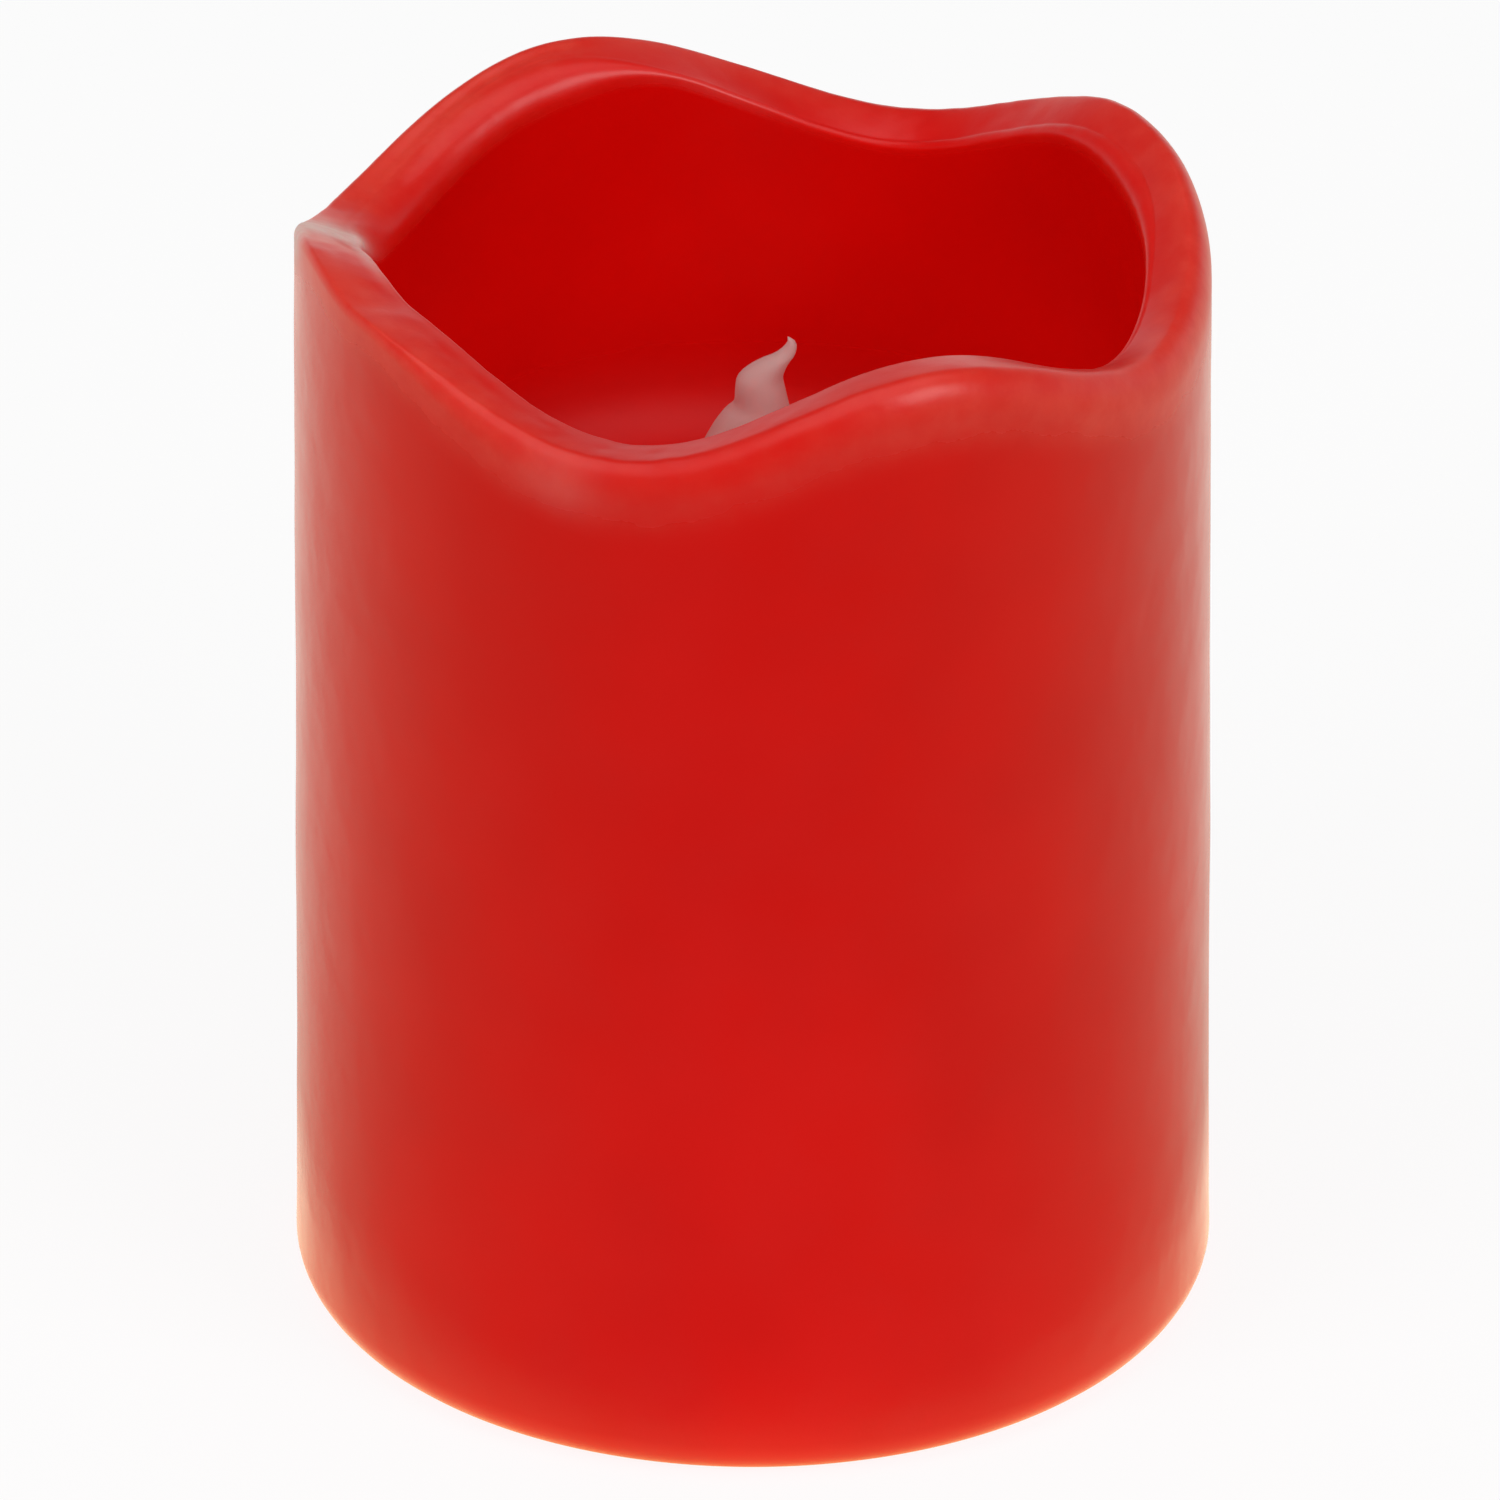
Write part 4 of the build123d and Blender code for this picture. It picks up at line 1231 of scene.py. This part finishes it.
@dataclass
class Stage:
    """Pale floor, soft studio light and the camera."""

    elevation: float = math.radians(29.19)
    distance: float = 2.5
    lens: float = 737.8  # millimetres, as the sensor
    sensor: float = 36.0
    clip: tuple[float, float] = (0.1, 60.0)
    aim: Point = (-0.24 * MM, -0.37 * MM, 47.3 * MM)
    floor_half: float = 12.0
    floor_glow: float = 1.02
    floor_shade: float = 0.12
    front_light: float = 0.12
    back_light: float = 1.08
    front_tint: Colour = (1.0, 0.78, 0.30)
    back_tint: Colour = (1.0, 0.96, 0.86)
    sky_share: float = 1.0
    sky_fade: float = 0.90
    sky_band: tuple[float, float] = (-0.15, 0.64)  # sine of the elevations between which the sky fades
    pool_near: float = 0.80
    pool_far: float = 0.30
    pool_reach: tuple[float, float] = (0.5, 0.05)
    foot_reach: tuple[float, float] = (0.054, 0.036)
    foot_light: float = 0.5
    foot_mirror: float = 1.0
    softboxes: tuple[Softbox, ...] = (
        Softbox("key_right", (0.94, -0.94, 0.85), 0.7, 7.2, True),
        Softbox("key_left", (-0.96, -0.92, 0.85), 0.7, 6.48, False),
        Softbox("overhead", (-0.05, -0.35, 1.45), 1.8, 10.6, True))
    light_aim: Point = (0.0, 0.0, 0.06)

    def camera(self) -> None:
        """Make the camera and set it as the scene's."""
        data = bpy.data.cameras.new("camera")
        data.lens = self.lens
        data.sensor_width = self.sensor
        data.clip_start, data.clip_end = self.clip
        camera = bpy.data.objects.new("camera", data)
        bpy.context.scene.collection.objects.link(camera)
        back = Vector((0.0, -math.cos(self.elevation), math.sin(self.elevation)))
        camera.location = Vector(self.aim) + back * self.distance
        camera.rotation_euler = (-back).to_track_quat("-Z", "Y").to_euler()
        bpy.context.scene.camera = camera

    def floor(self) -> None:
        """Make the floor, which is clear from below."""
        half = self.floor_half
        mesh = bpy.data.meshes.new("floor")
        corners = [(-half, -half, 0), (half, -half, 0), (half, half, 0), (-half, half, 0)]
        mesh.from_pydata(corners, [], [(0, 1, 2, 3)])
        floor = bpy.data.objects.new("floor", mesh)
        bpy.context.scene.collection.objects.link(floor)
        material = bpy.data.materials.new("floor")
        material.use_nodes = True
        graph = Graph(material.node_tree)
        matt = graph.node("ShaderNodeBsdfDiffuse", None, {"Color": (0.9, 0.9, 0.9, 1.0)})
        seen = self.mixed(graph, self.floor_shade, self.glow(graph, self.floor_glow), matt.outputs[0])
        split = graph.node("ShaderNodeSeparateXYZ", None, {0: graph.place()})
        x, y = Value(graph, split.outputs["X"]), Value(graph, split.outputs["Y"])
        reach = (x * x + y * y).math("SQRT")
        near_foot = reach.between(*self.foot_reach)
        tint = graph.mix((y / reach) * 0.5 + 0.5, self.front_tint, self.back_tint)
        mirrored = self.glow(graph, self.brightness(y / reach) + self.foot_mirror * near_foot, tint)
        spread = (self.pool_near - self.pool_far) * reach.between(*self.pool_reach)
        pool = self.glow(graph, self.pool_far + spread + self.foot_light * near_foot)
        path = graph.node("ShaderNodeLightPath").outputs
        other = self.mixed(graph, path["Is Glossy Ray"], pool, mirrored)
        above = self.mixed(graph, path["Is Camera Ray"], other, seen)
        clear = graph.node("ShaderNodeBsdfTransparent").outputs[0]
        under = graph.node("ShaderNodeNewGeometry").outputs["Backfacing"]
        both = self.mixed(graph, under, above, clear)
        graph.node("ShaderNodeOutputMaterial", None, {"Surface": both})
        material.cycles.emission_sampling = "NONE"
        mesh.materials.append(material)

    @staticmethod
    def glow(graph: Graph, strength: Number, tint: Input = (1.0, 1.0, 1.0, 1.0)) -> bpy.types.NodeSocket:
        """Emission of a strength and tint."""
        return graph.node("ShaderNodeEmission", None, {"Color": tint, "Strength": strength}).outputs[0]

    @staticmethod
    def mixed(graph: Graph, factor: Input, first: bpy.types.NodeSocket,
              second: bpy.types.NodeSocket) -> bpy.types.NodeSocket:
        """Mix two shaders.

        Args:
            graph: The graph to add to.
            factor: Share of the second shader.
            first: Shader at factor 0.
            second: Shader at factor 1.

        Returns:
            The mixed shader's socket.
        """
        return graph.node("ShaderNodeMixShader", None, {0: factor, 1: first, 2: second}).outputs[0]

    def brightness(self, back: Value) -> Value:
        """Brightness of the surroundings by how far a direction points to the back, from -1 to 1."""
        share = back * 0.5 + 0.5
        return self.front_light + (self.back_light - self.front_light) * share

    def world(self) -> None:
        """Make surroundings that are bright behind the candle and dim in front of it."""
        world = bpy.data.worlds.new("studio")
        bpy.context.scene.world = world
        world.use_nodes = True
        graph = Graph(world.node_tree)
        direction = graph.node("ShaderNodeTexCoord").outputs["Generated"]
        toward = graph.node("ShaderNodeSeparateXYZ", None, {0: direction})
        fade = 1 - self.sky_fade * Value(graph, toward.outputs["Z"]).between(*self.sky_band)
        strength = self.sky_share * fade * self.brightness(Value(graph, toward.outputs["Y"]))
        white = (1.0, 1.0, 1.0, 1.0)
        around = graph.node("ShaderNodeBackground", None, {"Color": white, "Strength": strength})
        plain = graph.node("ShaderNodeBackground", None, {"Color": white, "Strength": 1.0})
        seen = graph.node("ShaderNodeLightPath").outputs["Is Camera Ray"]
        both = self.mixed(graph, seen, around.outputs[0], plain.outputs[0])
        graph.node("ShaderNodeOutputWorld", None, {"Surface": both})

    def lights(self) -> None:
        """Make the soft lights, all facing the candle."""
        for box in self.softboxes:
            data = bpy.data.lights.new(box.name, "AREA")
            data.shape = "SQUARE"
            data.size = box.size
            data.energy = box.power
            light = bpy.data.objects.new(box.name, data)
            bpy.context.scene.collection.objects.link(light)
            light.location = box.place
            light.visible_glossy = box.mirrored
            aim = Vector(self.light_aim) - Vector(box.place)
            light.rotation_euler = aim.to_track_quat("-Z", "Y").to_euler()

    def build(self) -> None:
        """Make the whole stage."""
        self.camera()
        self.floor()
        self.world()
        self.lights()
        bpy.context.scene.view_settings.view_transform = "Standard"


def main() -> None:
    """Build the candle's looks in order."""
    logging.basicConfig(level=logging.INFO, format="%(message)s")
    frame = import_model()
    steps: tuple[tuple[str, Callable[[], Any]], ...] = (
        ("stage", Stage().build),
        ("wax shell", WaxShell().build),
        ("flame tip", FlameTip().build),
        ("insert", lambda: Insert().dress(frame["nodes"])),
        ("raised marks", RaisedMarks().build),
    )
    for name, build in steps:
        LOG.info("%s: %s", name, build())


if __name__ == "__main__":
    main()
